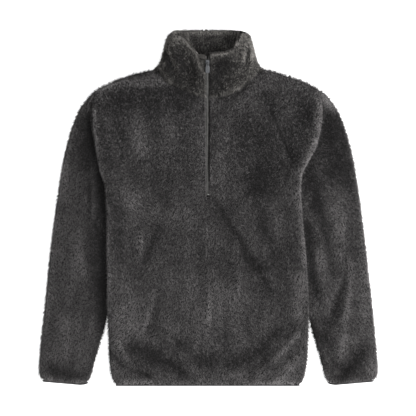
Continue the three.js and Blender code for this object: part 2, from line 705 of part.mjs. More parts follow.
// A bar of cloth from a row of four-cornered sections
function barGeometry(sections, around = false) {
  const loops = sections.map((section) => section.map((p) => p.clone()));
  const upper = loops.map(([a, b]) => [a, b]);
  const lower = loops.map(([, , c, d]) => [d, c]);
  if (!around) return clothWall(upper, lower);
  const turn = (grid) => [0, 1].map((k) => grid.map((pair) => pair[k]));
  return clothWall(turn(upper), turn(lower), () => true, true);
}

function tapeGeometry(side) {
  const part = steps(TAPE_ROWS).map((f) => {
    const y = lerp(ZIP_END_Y + LAYER_GAP + SEAM_GAP, TAPE_TOP_Y, f);
    const spread = SEAM_GAP / 2 + TAPE_SPREAD.wide * smoothstep(y, SLIDER_Y, TAPE_SPREAD.to);
    const sign = side === "left" ? -1 : 1;
    const near = ZIP_X + sign * spread;
    const far = slit[side](y) - sign * SEAM_GAP;
    const z = zipLevel(y) - TAPE_DEPTH;
    return [at(near, y, z), at(far, y, z), at(far, y, z - TAPE_THICK), at(near, y, z - TAPE_THICK)];
  });
  return barGeometry(part);
}

// Where the collar's left edge beside the zip is at height y
function collarEdgeX(y) {
  let x = slit.left(y);
  for (let turn = 0; turn < SETTLE_TURNS; turn += 1) {
    const foot = neckY(x) + COLLAR_GAP;
    x = collarSlit(clamp((y - foot) / (rimFront(x) - foot), 0, 1));
  }
  return x;
}

function guardGeometry() {
  const part = steps(GUARD_ROWS).map((f) => {
    const y = lerp(GUARD_FOOT_Y, GUARD_TOP_Y, f);
    const left = collarEdgeX(y) + SEAM_GAP;
    const right = slit.left(y) - GUARD_GAP;
    const z = zipLevel(y) - GUARD_DEPTH;
    return [at(right, y, z), at(left, y, z), at(left, y, z - GUARD_WALL), at(right, y, z - GUARD_WALL)];
  });
  return barGeometry(part);
}

// Binding round an opening: back run, then front run, at a fixed depth beyond the cloth's end
function bindingGeometry(backRun, frontRun, out) {
  const loop = [...backRun, ...frontRun];
  const sections = loop.map(({ point, turn }) => {
    const near = point.clone().addScaledVector(out, SEAM_GAP);
    const far = point.clone().addScaledVector(out, SEAM_GAP + BINDING_DEEP);
    const half = turn.clone().multiplyScalar(BINDING_THICK / 2);
    return [near.clone().add(half), far.clone().add(half), far.clone().sub(half), near.clone().sub(half)];
  });
  return barGeometry(sections, true);
}

function hemBinding() {
  const y = HEM_Y;
  const end = { left: edge.left(y) + HEM_BINDING_INSET, right: edge.right(y) - HEM_BINDING_INSET };
  const [low, high] = [BINDING_LOW, HEM_BINDING_HIGH];
  const run = (f, z) => at(lerp(end.left, end.right, f), y, z);
  const backRun = steps(HEM_COLUMNS).map((f) => ({ point: run(f, low), turn: at(0, 0, -1) }));
  const frontRun = steps(HEM_COLUMNS).map((f) => ({ point: run(1 - f, high), turn: at(0, 0, 1) }));
  const round = (x, sign) => ({
    point: at(x + sign * (high - low) / 2, y, (high + low) / 2),
    turn: at(sign, 0, 0),
  });
  return bindingGeometry(
    [...backRun, round(end.right, 1)], [...frontRun, round(end.left, -1)], at(0, -1, 0));
}

function cuffBinding(side) {
  const mirror = side === "left" ? 1 : -1;
  const last = SLEEVE_SECTIONS[SLEEVE_SECTIONS.length - 1];
  const start = at(mirror * last.innerX, last.innerY, 0);
  const end = at(mirror * last.outerX, last.outerY, 0);
  const along = end.clone().sub(start).normalize();
  const out = at(along.y, -along.x, 0);
  if (out.y > 0) out.negate();
  const width = start.distanceTo(end);
  const [low, high, inset] = [BINDING_LOW, CUFF_BINDING_HIGH, CUFF_BINDING_INSET];
  const run = (f) => start.clone().addScaledVector(along, lerp(inset, width - inset, f));
  const backRun = steps(CUFF_COLUMNS).map((f) => ({ point: run(f).setZ(low), turn: at(0, 0, -1) }));
  const frontRun = steps(CUFF_COLUMNS).map((f) => ({ point: run(1 - f).setZ(high), turn: at(0, 0, 1) }));
  const half = (high - low) / 2;
  const round = (f, sign) => ({
    point: run(f).addScaledVector(along, sign * half).setZ(low + half),
    turn: along.clone().multiplyScalar(sign),
  });
  return bindingGeometry([...backRun, round(1, 1)], [...frontRun, round(0, -1)], out);
}

// Slider and pull tab, in the slope of the collar at the zip
const slope = Math.atan2(zipLevel(SLIDER_Y) - zipLevel(SLIDER_Y - SLIDER_LONG), SLIDER_LONG);
const seat = new THREE.Matrix4()
  .makeTranslation(ZIP_X, SLIDER_Y, zipLevel(SLIDER_Y) - TAPE_DEPTH)
  .multiply(new THREE.Matrix4().makeRotationX(slope));

function extruded(shape, depth, curveSegments) {
  return new THREE.ExtrudeGeometry(shape, { depth, bevelEnabled: false, curveSegments });
}

function polygon(pairs) {
  return new THREE.Shape(pairs.map(([x, y]) => new THREE.Vector2(x, y)));
}

const manifold = await Module();
manifold.setup();

function asManifold(geometry) {
  const place = geometry.getAttribute("position");
  const found = new Map();
  const points = [];
  const triangles = [];
  for (let i = 0; i < place.count; i += 1) {
    const p = [place.getX(i), place.getY(i), place.getZ(i)];
    const name = p.map((value) => value.toFixed(4)).join(" ");
    if (!found.has(name)) {
      found.set(name, points.length / 3);
      points.push(...p);
    }
    triangles.push(found.get(name));
  }
  const mesh = new manifold.Mesh({
    numProp: 3, vertProperties: new Float32Array(points), triVerts: new Uint32Array(triangles),
  });
  return new manifold.Manifold(mesh);
}

function fromManifold(solid) {
  const mesh = solid.getMesh();
  const geometry = new THREE.BufferGeometry();
  geometry.setAttribute("position", new THREE.BufferAttribute(new Float32Array(mesh.vertProperties), 3));
  geometry.setIndex([...mesh.triVerts]);
  const flat = geometry.toNonIndexed();
  flat.computeVertexNormals();
  return flat;
}

function sliderGeometry() {
  const [top, foot] = [SLIDER_WIDE_TOP / 2, SLIDER_WIDE_FOOT / 2];
  const [half, corner] = [SLIDER_LONG / 2, SLIDER_CORNER];
  const plate = extruded(polygon([
    [-foot, -half], [foot, -half], [foot, -half / 3], [top, half / 4], [top, half - corner],
    [top - corner, half], [corner - top, half], [-top, half - corner], [-top, half / 4], [-foot, -half / 3],
  ]), SLIDER_PLATE, 1);
  plate.translate(0, 0, SEAM_GAP);
  const root = SEAM_GAP + SLIDER_PLATE - BRIDGE_ROOT;
  const arch = new THREE.Shape();
  arch.moveTo(HINGE_UP - BRIDGE_OUTER, root);
  arch.lineTo(HINGE_UP - BRIDGE_OUTER, HINGE_HEIGHT);
  arch.absarc(HINGE_UP, HINGE_HEIGHT, BRIDGE_OUTER, Math.PI, 0, true);
  arch.lineTo(HINGE_UP + BRIDGE_OUTER, root);
  arch.lineTo(HINGE_UP + BRIDGE_INNER, root);
  arch.lineTo(HINGE_UP + BRIDGE_INNER, HINGE_HEIGHT);
  arch.absarc(HINGE_UP, HINGE_HEIGHT, BRIDGE_INNER, 0, Math.PI, false);
  arch.lineTo(HINGE_UP - BRIDGE_INNER, root);
  const bridge = extruded(arch, BRIDGE_WIDE, ARC_STEPS);
  bridge.translate(0, 0, -BRIDGE_WIDE / 2);
  bridge.applyMatrix4(new THREE.Matrix4().makeBasis(at(0, 1, 0), at(0, 0, 1), at(1, 0, 0)));
  const joined = asManifold(plate).add(asManifold(bridge));
  return fromManifold(joined).applyMatrix4(seat);
}

function pullGeometry() {
  const [eye, wide, bar] = [TAB_WIDE_EYE / 2, TAB_WIDE / 2, TAB_THICK / 2];
  const tab = polygon([
    [-eye, bar], [eye, bar], [eye, -EYE_END], [wide, -EYE_END - wide], [wide, TAB_CORNER - TAB_LONG],
    [wide - TAB_CORNER, -TAB_LONG], [TAB_CORNER - wide, -TAB_LONG], [-wide, TAB_CORNER - TAB_LONG],
    [-wide, -EYE_END - wide], [-eye, -EYE_END],
  ]);
  const gap = EYE_WIDE / 2;
  const eyeHole = polygon([[-gap, -bar], [gap, -bar], [gap, -EYE_END], [-gap, -EYE_END]]);
  const cutter = extruded(eyeHole, 3 * TAB_THICK, 1).translate(0, 0, -TAB_THICK);
  const pierced = asManifold(extruded(tab, TAB_THICK, 1)).subtract(asManifold(cutter));
  return fromManifold(pierced).translate(0, HINGE_UP, HINGE_HEIGHT - bar).applyMatrix4(seat);
}

const cloth = (color) => ({ color, roughness: CLOTH_ROUGHNESS, metalness: 0 });
const metal = { color: METAL_COLOUR, roughness: METAL_ROUGHNESS, metalness: 1 };
const NODES = [
  { name: "back", geometry: backGeometry(), look: cloth(FLEECE_COLOUR) },
  { name: "front", geometry: frontGeometry(), look: cloth(FLEECE_COLOUR) },
  { name: "sleeve_left", geometry: sleeveGeometry("left"), look: cloth(FLEECE_COLOUR) },
  { name: "sleeve_right", geometry: sleeveGeometry("right"), look: cloth(FLEECE_COLOUR) },
  { name: "collar", geometry: collarGeometry(), look: cloth(COLLAR_COLOUR) },
  { name: "chin_guard", geometry: guardGeometry(), look: cloth(COLLAR_COLOUR) },
  { name: "zip_tape_left", geometry: tapeGeometry("left"), look: cloth(TAPE_COLOUR) },
  { name: "zip_tape_right", geometry: tapeGeometry("right"), look: cloth(TAPE_COLOUR) },
  { name: "zip_slider", geometry: sliderGeometry(), look: metal },
  { name: "zip_pull", geometry: pullGeometry(), look: metal },
  { name: "hem_binding", geometry: hemBinding(), look: cloth(BINDING_COLOUR) },
  { name: "cuff_binding_left", geometry: cuffBinding("left"), look: cloth(BINDING_COLOUR) },
  { name: "cuff_binding_right", geometry: cuffBinding("right"), look: cloth(BINDING_COLOUR) },
];

const group = new THREE.Group();
group.name = "pullover";
NODES.forEach(({ name, geometry, look }) => {
  const mesh = new THREE.Mesh(geometry, new THREE.MeshStandardMaterial(look));
  mesh.name = name;
  group.add(mesh);
});

export default group;
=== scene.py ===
"""Half-zip plush fleece pullover, laid flat and seen from above. Sizes are in millimetres."""

import math

import bmesh
import bpy
import numpy as np
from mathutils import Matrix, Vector


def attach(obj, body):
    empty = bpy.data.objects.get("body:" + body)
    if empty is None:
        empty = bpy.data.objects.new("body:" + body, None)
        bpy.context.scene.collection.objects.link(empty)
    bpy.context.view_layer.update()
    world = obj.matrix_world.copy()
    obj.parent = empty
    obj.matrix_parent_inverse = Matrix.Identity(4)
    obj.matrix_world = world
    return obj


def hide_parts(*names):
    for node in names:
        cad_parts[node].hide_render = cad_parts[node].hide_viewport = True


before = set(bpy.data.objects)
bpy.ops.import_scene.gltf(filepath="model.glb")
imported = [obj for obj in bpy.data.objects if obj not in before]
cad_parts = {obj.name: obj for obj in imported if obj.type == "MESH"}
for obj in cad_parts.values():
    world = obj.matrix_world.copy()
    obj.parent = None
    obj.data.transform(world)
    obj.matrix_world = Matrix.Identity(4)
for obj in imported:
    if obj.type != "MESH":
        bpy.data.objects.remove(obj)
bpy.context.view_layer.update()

MM = 0.001
TINY = 1e-9
BODY = "pullover"
SEED = 41
rng = np.random.default_rng(SEED)

# Cloth
FLEECE = 6.0
PILE = 4.2
SINK = 3.4
COLLAR_WALL = 9.0
SEAM_GAP = 0.3
LAYER_GAP = 0.5
BODY_LEVEL = 15.5
LOWEST_LEVEL = 2 * FLEECE + 2 * LAYER_GAP
HEM_Y = -388.0
UNDERARM_Y = 48.0
FOLD_REACH = 8.0
FOLD_FADE = 34.0
SHOULDER_ROLL = 14.0
BACK_NECK_Y = 300.0
BACK_NECK_RISE = 6.0
BACK_NECK_HALF = 116.5
BACK_INSET = 1.2
ZIP_X = -1.0
ZIP_END_Y = 28.0
SLEEVE_EDGE = 2 * FLEECE + 0.35
SLEEVE_CROWN = 3.4
SLEEVE_FLAT_INNER = 16.0
SLEEVE_INSET = 1.0
COLLAR_REST = COLLAR_WALL / 2
COLLAR_GAP = 1.5
COLLAR_TOP_Y = 391.0
COLLAR_CORNER_DROP = 4.5
COLLAR_CORNER_X = (58.0, 74.0)
COLLAR_RIGHT_WIDER = 3.5
COLLAR_RIGHT_X = (30.0, 85.0)
COLLAR_SIDE_RISE = 5.0
COLLAR_ROLL = 12.0
COLLAR_ROLL_X = (55.0, 82.0)
COLLAR_ROLL_UP = 0.84
COLLAR_ROLL_TURN = 0.4
COLLAR_FACING = 0.5
COLLAR_FOLD_UP = 0.12
COLLAR_SLIT_Y = 300.0
CHEST_Y = 200.0
SHOULDER_END_Y = 262.0
BACK_NECK_TURN = (80.0, 108.0)
HEM_FADE = 22.0
HEM_LOW = 0.25
LINING_STEP = 0.05
LINING_DROP = 0.15
LINING_SHIFT = 1.0
LINING_TURN = 0.4
LINING_CORNER = 1.6
LINING_RISE = 0.9
SLEEVE_THIN = 20.0
SLEEVE_FULL = 90.0
SLEEVE_RAMP = 30.0
EDGE_TURNS = (22.5, 45.0, 67.5)
CUFF_FROM = 0.94
CUFF_FLAT = 0.5
SEAM_OPEN_Y = (150.0, 195.0)
ROUNDS = 8

# Unevenness: strength, size and seed of each layer of noise
FRONT_NOISE = ((0.7, 46, 3), (0.4, 21, 4))
SLEEVE_NOISE = ((0.7, 44, 8), (0.4, 20, 9))
COLLAR_NOISE = ((0.8, 24, 14),)
PATCH_NOISE = ((0.14, 48, 21), (0.12, 19, 22))
NOISE_CELLS = 64
NOISE_SHIFT = 400

# Columns of a table of folds or strokes, and the least length over which one fades at its ends
STROKE = "x0 y0 x1 y1 width height"
STROKE_END = 10.0


def table(names, *rows):
    """Named columns from rows of numbers."""
    return {name: np.array([row[i] for row in rows], float) for i, name in enumerate(names.split())}


BODY_EDGE = table(
    "y left right",
    (-388, -204, 203), (-380, -210, 210), (-366, -214.5, 214.5), (-326, -219, 220.5),
    (-252, -222, 223.3), (-203, -223.5, 222.2), (-122, -224.5, 218), (-49, -225.3, 211.4),
    (10, -226.5, 207), (45, -228, 205.6), (70, -235.2, 207), (94, -241.4, 217),
    (119, -246.4, 231.5), (142, -250.5, 241.5), (180, -255.2, 248), (221, -256.6, 249.5),
    (250, -250.5, 247), (266, -244.5, 244.5),
)
SIDE_FOLD = table(
    "y tuck seam under top",
    (-388, 3, 6.5, 7.2, 13.6), (-360, 3, 6.5, 7.2, 17), (-305, 3, 6.5, 7.2, 17),
    (-262, 14, 6.5, 13, 25.5), (185, 14, 6.5, 13, 25.5), (222, 0, 9.3, 13, 19),
    (245, 0, 9.3, 11, BODY_LEVEL), (266, 0, 9.3, 11, BODY_LEVEL),
)
SHOULDER = table(
    "x y",
    (100, 311), (122, 307.5), (150, 301), (175, 293.5), (210, 281), (236, 268.5), (245, 263.2),
)
SHOULDER_SEAM = table(
    "x y",
    (-246, 254), (-236, 260), (-225, 266), (-214, 271), (-181, 278), (-148, 280.5), (-80, 280.5),
    (95, 301.5), (122, 298.5), (150, 291.5), (170, 285), (200, 275), (223, 265.5), (246, 254),
)
NECKLINE = table(
    "y left right",
    (243.3, -4, 4), (245, -16, 22), (249, -28, 39.5), (259, -49.5, 65.6),
    (266, -64.5, 75), (275, -84, 84), (292, -97, 98), (309, -110, 111),
)
SLIT = table(
    "y left right",
    (ZIP_END_Y, -5, 3), (150, -6.5, 3.6), (290, -8.5, 4.2), (345, -8.5, 4.2),
)
SLEEVE_SECTIONS = table(
    "outer_x outer_y inner_x inner_y rise",
    (-247.2, 262, np.nan, 246, 2.7), (-266, 243, np.nan, 229, 0.4), (-282, 220.5, np.nan, 209, 0),
    (-295.5, 191, np.nan, 180, 0), (-307, 156, np.nan, 146, 0), (-316.3, 119, np.nan, 110, 0),
    (-324.8, 73, np.nan, 66, 0), (-331.5, 29, np.nan, 24, 0), (-339, -26, np.nan, -30, 0),
    (-346.3, -82, np.nan, -85, 0), (-352.8, -143, np.nan, -145, 0), (-358.6, -200, np.nan, -200, 0),
    (-363.5, -248, -221, -246, 0), (-368, -290, -232, -287, 0), (-371.5, -328, -243.8, -325, 0),
    (-373, -350, -250.2, -349, 0), (-372, -363, -254.5, -366, 0), (-368.5, -373, -260.5, -379.5, 0),
    (-361, -379.5, -270, -386.8, 0),
)
SLEEVE_REACH = {"left": 1.5, "right": 3.2}
COLLAR_RINGS = table(
    "up half front slit_left",
    (0, 118, 15.2, -8.5), (0.12, 112.5, 18.5, -8.5), (0.35, 105, 25, -9),
    (0.65, 97.5, 32, -14), (0.88, 91, 37, -21), (1, 86, 38.5, -25),
)
COLLAR_RIM = table(
    "x y",
    (-88, 390), (-78, 387), (-60, 372), (-38, 355), (-24, 341), (-8, 337.5),
    (20, 339), (42, 342.5), (53, 348.5), (61, 358), (68, 373), (88, 390),
)
COLLAR_BACK_RIM = table("x y", (-92, 384.5), (-76, 391), (0, 391.3), (76, 391), (92, 384.5))

# Folds: a ridge or trough from one end to the other
FRONT_FOLDS = table(
    STROKE,
    (14, 19, 122, -163, 14, -2.6), (45, 6, 137, -137, 19, 3), (71, -370, 186, -275, 13, -2.2),
    (104, -386, 196, -270, 12, 3.2), (130, -380, 202, -292, 9, -2.4), (160, -386, 208, -315, 10, 2.6),
    (-200, -315, -135, -382, 11, -3.5), (-188, -300, -109, -372, 14, 4), (-102, -315, -34, -380, 13, -2.8),
    (-69, -315, -8, -376, 15, 4.5), (-120, -326, 110, -330, 14, -2.2), (5, -130, 3, -290, 15, 2.6),
    (69, -112, 66, -210, 12, 2), (-146, -45, -151, -125, 13, 2), (-120, -195, -131, -300, 15, -2.2),
    (151, 184, 186, 102, 10, -2.2), (200, 70, 165, -5, 13, -2.4),
)
FINE_FOLDS = table(
    STROKE,
    (12, 14, 120, -165, 5, -2.2), (24, 14, 126, -150, 6, 1.6), (-146, -50, -149, -118, 5, 1.6),
    (-138, -60, -140, -118, 6, -1.6), (-104, -185, -131, -280, 5, 1.6), (3, -180, 1, -300, 5, 1.6),
    (69, -95, 68, -180, 4, 1.4), (214, -300, 150, -372, 6, -1), (-214, -260, -168, -360, 6, 1.8),
    (-205, -265, -155, -362, 6, -2), (-82, -285, -12, -370, 6, -2), (-12, -300, -14, -374, 6, 1.8),
    (150, 186, 188, 100, 4, -1.6), (100, 190, 140, 60, 8, -1.2), (-30, 40, -60, -110, 9, 1.0),
    (-190, 120, -170, 10, 10, 1.2),
)
SLEEVE_FOLDS = {
    "left": table(
        STROKE,
        (-256, 75, -257, -20, 11, 2.2), (-346, -300, -308, -370, 14, -2.6),
        (-300, -120, -312, -250, 14, 1.8), (-254, 62, -255, -10, 5, 1.6), (-262, 60, -263, -14, 5, -1.2),
        (-278, -110, -292, -260, 6, 1.0),
    ),
    "right": table(
        STROKE,
        (302, -150, 262, -268, 11, -2.4), (316, -125, 290, -250, 11, 2.8), (266, -88, 277, -152, 9, -2.8),
        (243, -70, 258, -160, 10, 3), (292, -364, 350, -295, 14, -2.8), (300, -160, 268, -245, 6, -0.8),
        (246, -85, 254, -140, 5, 1.4), (330, 40, 300, -60, 9, -1.2),
    ),
}
COLLAR_FOLDS = table(
    STROKE,
    (-88, 344, -72, 295, 6, -4.5), (-80, 354, -58, 305, 9, 2.4), (-50, 310, -34, 284, 12, -3.4),
    (-58, 370, -30, 350, 5, 2.0), (-30, 350, -14, 312, 5, 2.6), (88, 364, 87, 312, 5, -4.0),
    (78, 352, 76, 314, 6, 2.8), (97, 318, 86, 288, 6, 3.0), (86, 288, 68, 267, 6, 3.0),
    (68, 267, 28, 253, 6, 2.6), (8, 333, 44, 339, 5, 2.0), (25, 320, 36, 270, 18, -2.0),
    (-88, 292, -60, 264, 6, 2.0), (-60, 264, -22, 251, 6, 2.0),
)

# Nap and painted light: strokes where the pile's tone is lighter or darker, partly the nap's own lie and
# partly painted shade, painted shadows and painted highlights along edges, folds, seams and inside the collar
NAP_AND_PAINTED_LIGHT = {
    "front": table(
        STROKE,
        (-205, 238, -45, 238, 24, -0.75), (-50, 264, -20, 256, 12, -0.8), (-215, 248, -190, 150, 22, -0.5),
        (-240, 195, -212, 85, 12, -0.5), (-130, 232, -95, 150, 22, -0.18), (-70, 238, -50, 180, 18, -0.45),
        (-190, 165, -190, 100, 16, -0.25), (-157, 205, -146, 115, 18, 0.36),
        (-85, 190, -75, 110, 20, 0.25), (-120, 70, -75, 60, 18, -0.25), (-110, 50, -88, 10, 16, -0.3),
        (-188, 50, -165, 5, 22, 0.32), (-65, 10, -40, -30, 26, 0.4), (-210, 40, -188, -110, 16, -0.6),
        (-105, -40, -142, -120, 12, -0.5), (-148, -45, -153, -110, 7, 0.4),
        (-200, -112, -175, -130, 14, -0.25), (-90, -110, -50, -115, 14, -0.3),
        (-16, 200, -12, 40, 8, 0.25), (-20, 60, -10, 0, 16, 0.2), (70, 240, 88, 228, 20, 0.5),
        (52, 205, 48, 185, 14, 0.3), (90, 276, 58, 248, 7, -0.5), (58, 248, 12, 240, 8, -0.6),
        (11, 215, 11, 100, 8, -0.25), (125, 258, 152, 198, 13, -0.75), (75, 185, 140, 135, 32, -0.5),
        (220, 240, 206, 185, 18, -0.85), (205, 165, 203, 150, 14, -0.4), (195, 138, 188, 112, 16, -0.5),
        (185, 188, 170, 160, 14, -0.3), (70, 200, 180, 60, 60, -0.25), (112, 105, 145, 75, 24, -0.5),
        (112, 88, 118, 40, 20, -0.7), (92, 45, 150, 32, 18, -0.4), (90, 80, 112, -5, 15, -0.55),
        (60, 12, 55, -12, 14, -0.3), (190, 92, 190, 72, 12, 0.4), (190, 48, 190, 2, 11, 0.5),
        (60, 105, 64, 80, 14, 0.25), (25, 130, 30, 60, 18, 0.25), (140, 0, 162, -45, 22, 0.15),
        (6, 22, 68, -66, 11, -0.55), (45, -8, 130, -55, 22, -0.25), (68, -66, 110, -135, 11, -0.45),
        (110, -130, 140, -185, 9, -0.6), (100, -105, 128, -135, 16, -0.3), (112, 0, 152, -120, 15, -0.5),
        (45, -20, 110, -100, 7, 0.2), (122, -126, 165, -132, 16, -0.5), (203, -140, 198, -250, 16, 0.6),
        (15, -160, 45, -200, 26, 0.2), (-170, -170, -170, -290, 40, 0.4), (-60, -170, 60, -250, 60, 0.25),
        (-32, -205, -30, -225, 16, -0.2), (6, -250, 10, -290, 8, -0.25),
        (-102, -190, -127, -282, 7, -0.25), (-117, -188, -142, -276, 6, 0.25),
        (-100, -262, -50, -258, 14, 0.2), (15, -255, 60, -290, 22, -0.35),
        (-200, -290, -165, -340, 14, 0.5), (-175, -303, -100, -330, 17, -0.95),
        (-150, -335, -88, -345, 12, -0.45), (-92, -332, -50, -368, 11, -1.1),
        (-218, -310, -186, -348, 4, -0.7), (-221, -262, -214, -352, 6, -0.6),
        (-160, -357, -126, -370, 5, -0.7), (-190, -380, -125, -384, 8, 0.6),
        (100, -386, 190, -386, 7, 0.45), (-46, -352, -20, -362, 6, 0.35), (-30, -362, -25, -378, 8, -0.4),
        (-60, -292, -55, -312, 16, -0.5), (-30, -326, 20, -340, 17, -0.9), (40, -338, 66, -342, 12, -0.7),
        (65, -338, 130, -305, 17, -0.9), (122, -306, 165, -262, 12, -0.8), (208, -264, 140, -338, 9, 0.5),
        (131, -358, 200, -291, 5, -0.3), (200, -318, 145, -388, 9, 0.6), (40, -366, 90, -368, 8, 0.3),
        (-75, -345, -15, -378, 6, 0.3), (45, -320, 20, -355, 6, 0.3), (-210, -330, -196, -370, 8, 0.3),
        (-30, -110, 60, -120, 18, -0.2), (85, -210, 88, -280, 10, -0.25), (246, 245, 239, 165, 9, 0.75),
        (238, 160, 216, 100, 9, 0.75), (214, 98, 203, 66, 8, 0.7), (201, 70, 201, 0, 7, 0.45),
        (203, 0, 211, -130, 8, 0.4), (-175, 262, -70, 258, 8, -0.35), (-215, 271, -95, 276, 6, 0.4),
        (-251, 225, -244, 108, 6, 0.8), (-240, 104, -226, 50, 5, 0.6), (-225, 45, -222, -10, 5, 0.7),
        (-221, -10, -219, -230, 5, 0.5), (0, -40, 0, -250, 8, 0.2), (-150, -285, -108, -292, 14, 0.3),
        (185, 185, 180, 110, 11, -0.3), (112, 95, 165, 88, 15, -0.2), (84, 42, 88, 0, 10, -0.25),
        (-198, -20, -190, -60, 12, -0.3), (40, -60, 40, -95, 12, -0.25), (80, -105, 100, -150, 10, -0.35),
        (212, -292, 205, -316, 7, 0.45), (105, -376, 135, -340, 9, 0.4), (165, -380, 186, -345, 10, 0.35),
        (5, -318, 60, -322, 12, -0.3), (-80, -345, -50, -368, 9, -0.35), (-55, -285, -46, -310, 16, -0.25),
        (-20, 246, -40, 250, 12, -0.3), (5, 95, 3, 35, 5, 0.35), (182, 272, 225, 262, 7, 0.3),
        (45, 245, 60, 215, 12, 0.25), (-220, 150, 220, 150, 100, -0.045),
    ),
    "sleeve_left": table(
        STROKE,
        (-240, 85, -238, -200, 18, -1.1), (-266, 205, -262, 90, 22, -1.2),
        (-262, -185, -262, -200, 12, 0.3), (-237, -200, -227, -285, 11, -0.9),
        (-285, -90, -280, -150, 14, 0.3), (-304, -245, -308, -335, 26, 0.3),
        (-325, -200, -300, -235, 14, -0.25), (-226, -262, -252, -362, 9, -0.7),
        (-350, -345, -320, -365, 13, -0.8), (-320, -365, -265, -370, 9, -0.5),
        (-330, -30, -332, -250, 26, 0.2), (-308, 105, -316, 10, 16, 0.35), (-264, 150, -264, 80, 10, -0.5),
        (-238, 55, -235, 10, 8, -0.5), (-242, -25, -228, -50, 7, 0.5), (-237, -95, -235, -185, 9, -0.4),
        (-262, -60, -262, -130, 8, -0.2), (-239, 50, -235, -8, 7, -0.3),
        (-264, -222, -240, -226, 11, -0.4), (-322, -220, -320, -330, 34, 0.15),
        (-222, -248, -224, -262, 6, -0.5), (-245, -140, -238, -175, 9, -0.25),
        (-264, 145, -262, 128, 8, -0.3), (-350, -366, -345, -382, 9, 0.4),
        (-290, -380, -262, -384, 6, 0.4),
    ),
    "sleeve_right": table(
        STROKE,
        (268, 205, 296, 70, 32, -1.1), (254, 248, 284, 216, 11, 0.9), (220, 70, 240, 0, 20, -0.95),
        (240, 85, 310, 60, 24, -0.4), (245, 20, 262, -60, 10, -0.4), (275, 15, 297, -70, 20, 0.42),
        (262, -60, 271, -150, 7, -0.45), (218, -30, 222, -115, 11, -1.0), (248, -10, 254, -55, 8, -0.4),
        (224, -120, 242, -195, 9, -0.95), (241, -82, 247, -140, 8, 0.75), (292, -175, 270, -237, 7, -0.7),
        (268, -240, 246, -302, 10, -0.75), (228, -238, 240, -292, 9, -0.7), (318, -110, 308, -160, 9, 0.4),
        (312, -165, 298, -262, 8, 0.45), (303, -140, 298, -230, 6, -0.3), (300, -275, 290, -332, 13, 0.6),
        (345, -300, 308, -360, 15, -0.85), (302, -345, 302, -380, 9, -0.5),
        (345, -150, 350, -250, 12, 0.2), (360, -335, 360, -372, 12, 0.6), (226, -248, 252, -352, 8, -0.7),
        (343, -45, 353, -165, 9, 0.4), (308, 195, 322, 105, 8, 0.4), (236, 130, 214, 68, 7, -0.7),
        (262, 206, 264, 198, 10, -0.9), (308, 62, 318, 20, 10, -0.5), (226, 52, 219, 2, 8, 0.7),
        (250, -150, 250, -156, 6, 0.5), (252, -260, 252, -270, 6, 0.6), (272, -280, 272, -292, 9, -0.3),
        (285, -80, 290, -125, 8, 0.2), (304, 66, 310, 54, 9, -0.45), (246, 160, 242, 135, 8, -0.4),
        (300, -345, 290, -382, 9, -0.5), (296, 205, 330, 60, 7, 0.3), (240, -150, 256, -155, 7, 0.35),
        (294, -180, 300, -200, 8, 0.35),
    ),
    "back": table(
        STROKE,
        (-245, 258, -210, 272, 8, 0.5), (-210, 272, -100, 279, 8, 0.6), (-175, 292, -120, 303, 6, -0.4),
        (-109, 307, -84, 275, 7, -0.35), (185, 276, 225, 262, 8, 0.5),
    ),
    "collar": table(
        STROKE,
        (-64, 384, -46, 361, 4, 1.05), (-46, 361, -26, 342, 4, 1.1), (-26, 342, -18, 314, 4, 1.1),
        (-18, 314, -9, 296, 4, 0.9), (-88, 366, -60, 384, 15, 1.0), (-72, 345, -52, 318, 15, -0.8),
        (-54, 312, -30, 286, 16, -1.0), (-90, 334, -76, 295, 6, -1.2), (-77, 340, -68, 308, 5, 0.5),
        (-92, 372, -90, 342, 6, 0.4), (-70, 284, -26, 266, 14, -0.65), (-60, 260, -22, 250, 7, -0.3),
        (-46, 276, -37, 262, 6, 0.4), (4, 335, 42, 341, 7, 1.15), (42, 346, 58, 359, 6, 0.8),
        (60, 358, 76, 386, 10, 0.9), (14, 317, 52, 318, 11, -1.1), (14, 305, 30, 262, 22, -1.2),
        (6, 290, 8, 255, 8, -0.5), (6, 250, 32, 250, 7, -0.6), (55, 325, 62, 290, 12, -0.3),
        (78, 346, 76, 317, 5, 0.5), (88, 362, 87, 314, 4, -0.8), (98, 318, 88, 290, 5, 0.15),
        (88, 288, 82, 276, 8, -0.4), (82, 280, 66, 264, 5, 0.35), (69, 268, 34, 255, 5, 0.45),
        (77, 292, 70, 286, 8, -0.4), (66, 284, 52, 264, 5, 0.45), (30, 318, 50, 300, 12, -0.4),
        (80, 386, 96, 350, 6, 0.5), (94, 358, 97, 320, 6, 0.6), (-66, 264, -40, 252, 8, -0.95),
        (-108, 302, -86, 280, 8, -0.3),
    ),
    "collar_inside": table(
        STROKE,
        (12, 346, 40, 345, 9, -0.35), (62, 382, 50, 354, 9, 0.2), (30, 350, 46, 362, 8, 0.5),
        (-42, 388, 64, 388, 5, 0.6), (-47, 385, -41, 366, 5, 0.6), (-32, 380, -22, 352, 8, -0.4),
        (-5, 382, 5, 360, 9, -0.3), (20, 384, 25, 366, 8, 0.3), (-14, 384, -10, 372, 6, 0.3),
    ),
    "chin_guard": table(STROKE, (-24, 335, -4, 334, 4, 0.9), (-9, 322, -8, 302, 4, -0.5)),
}
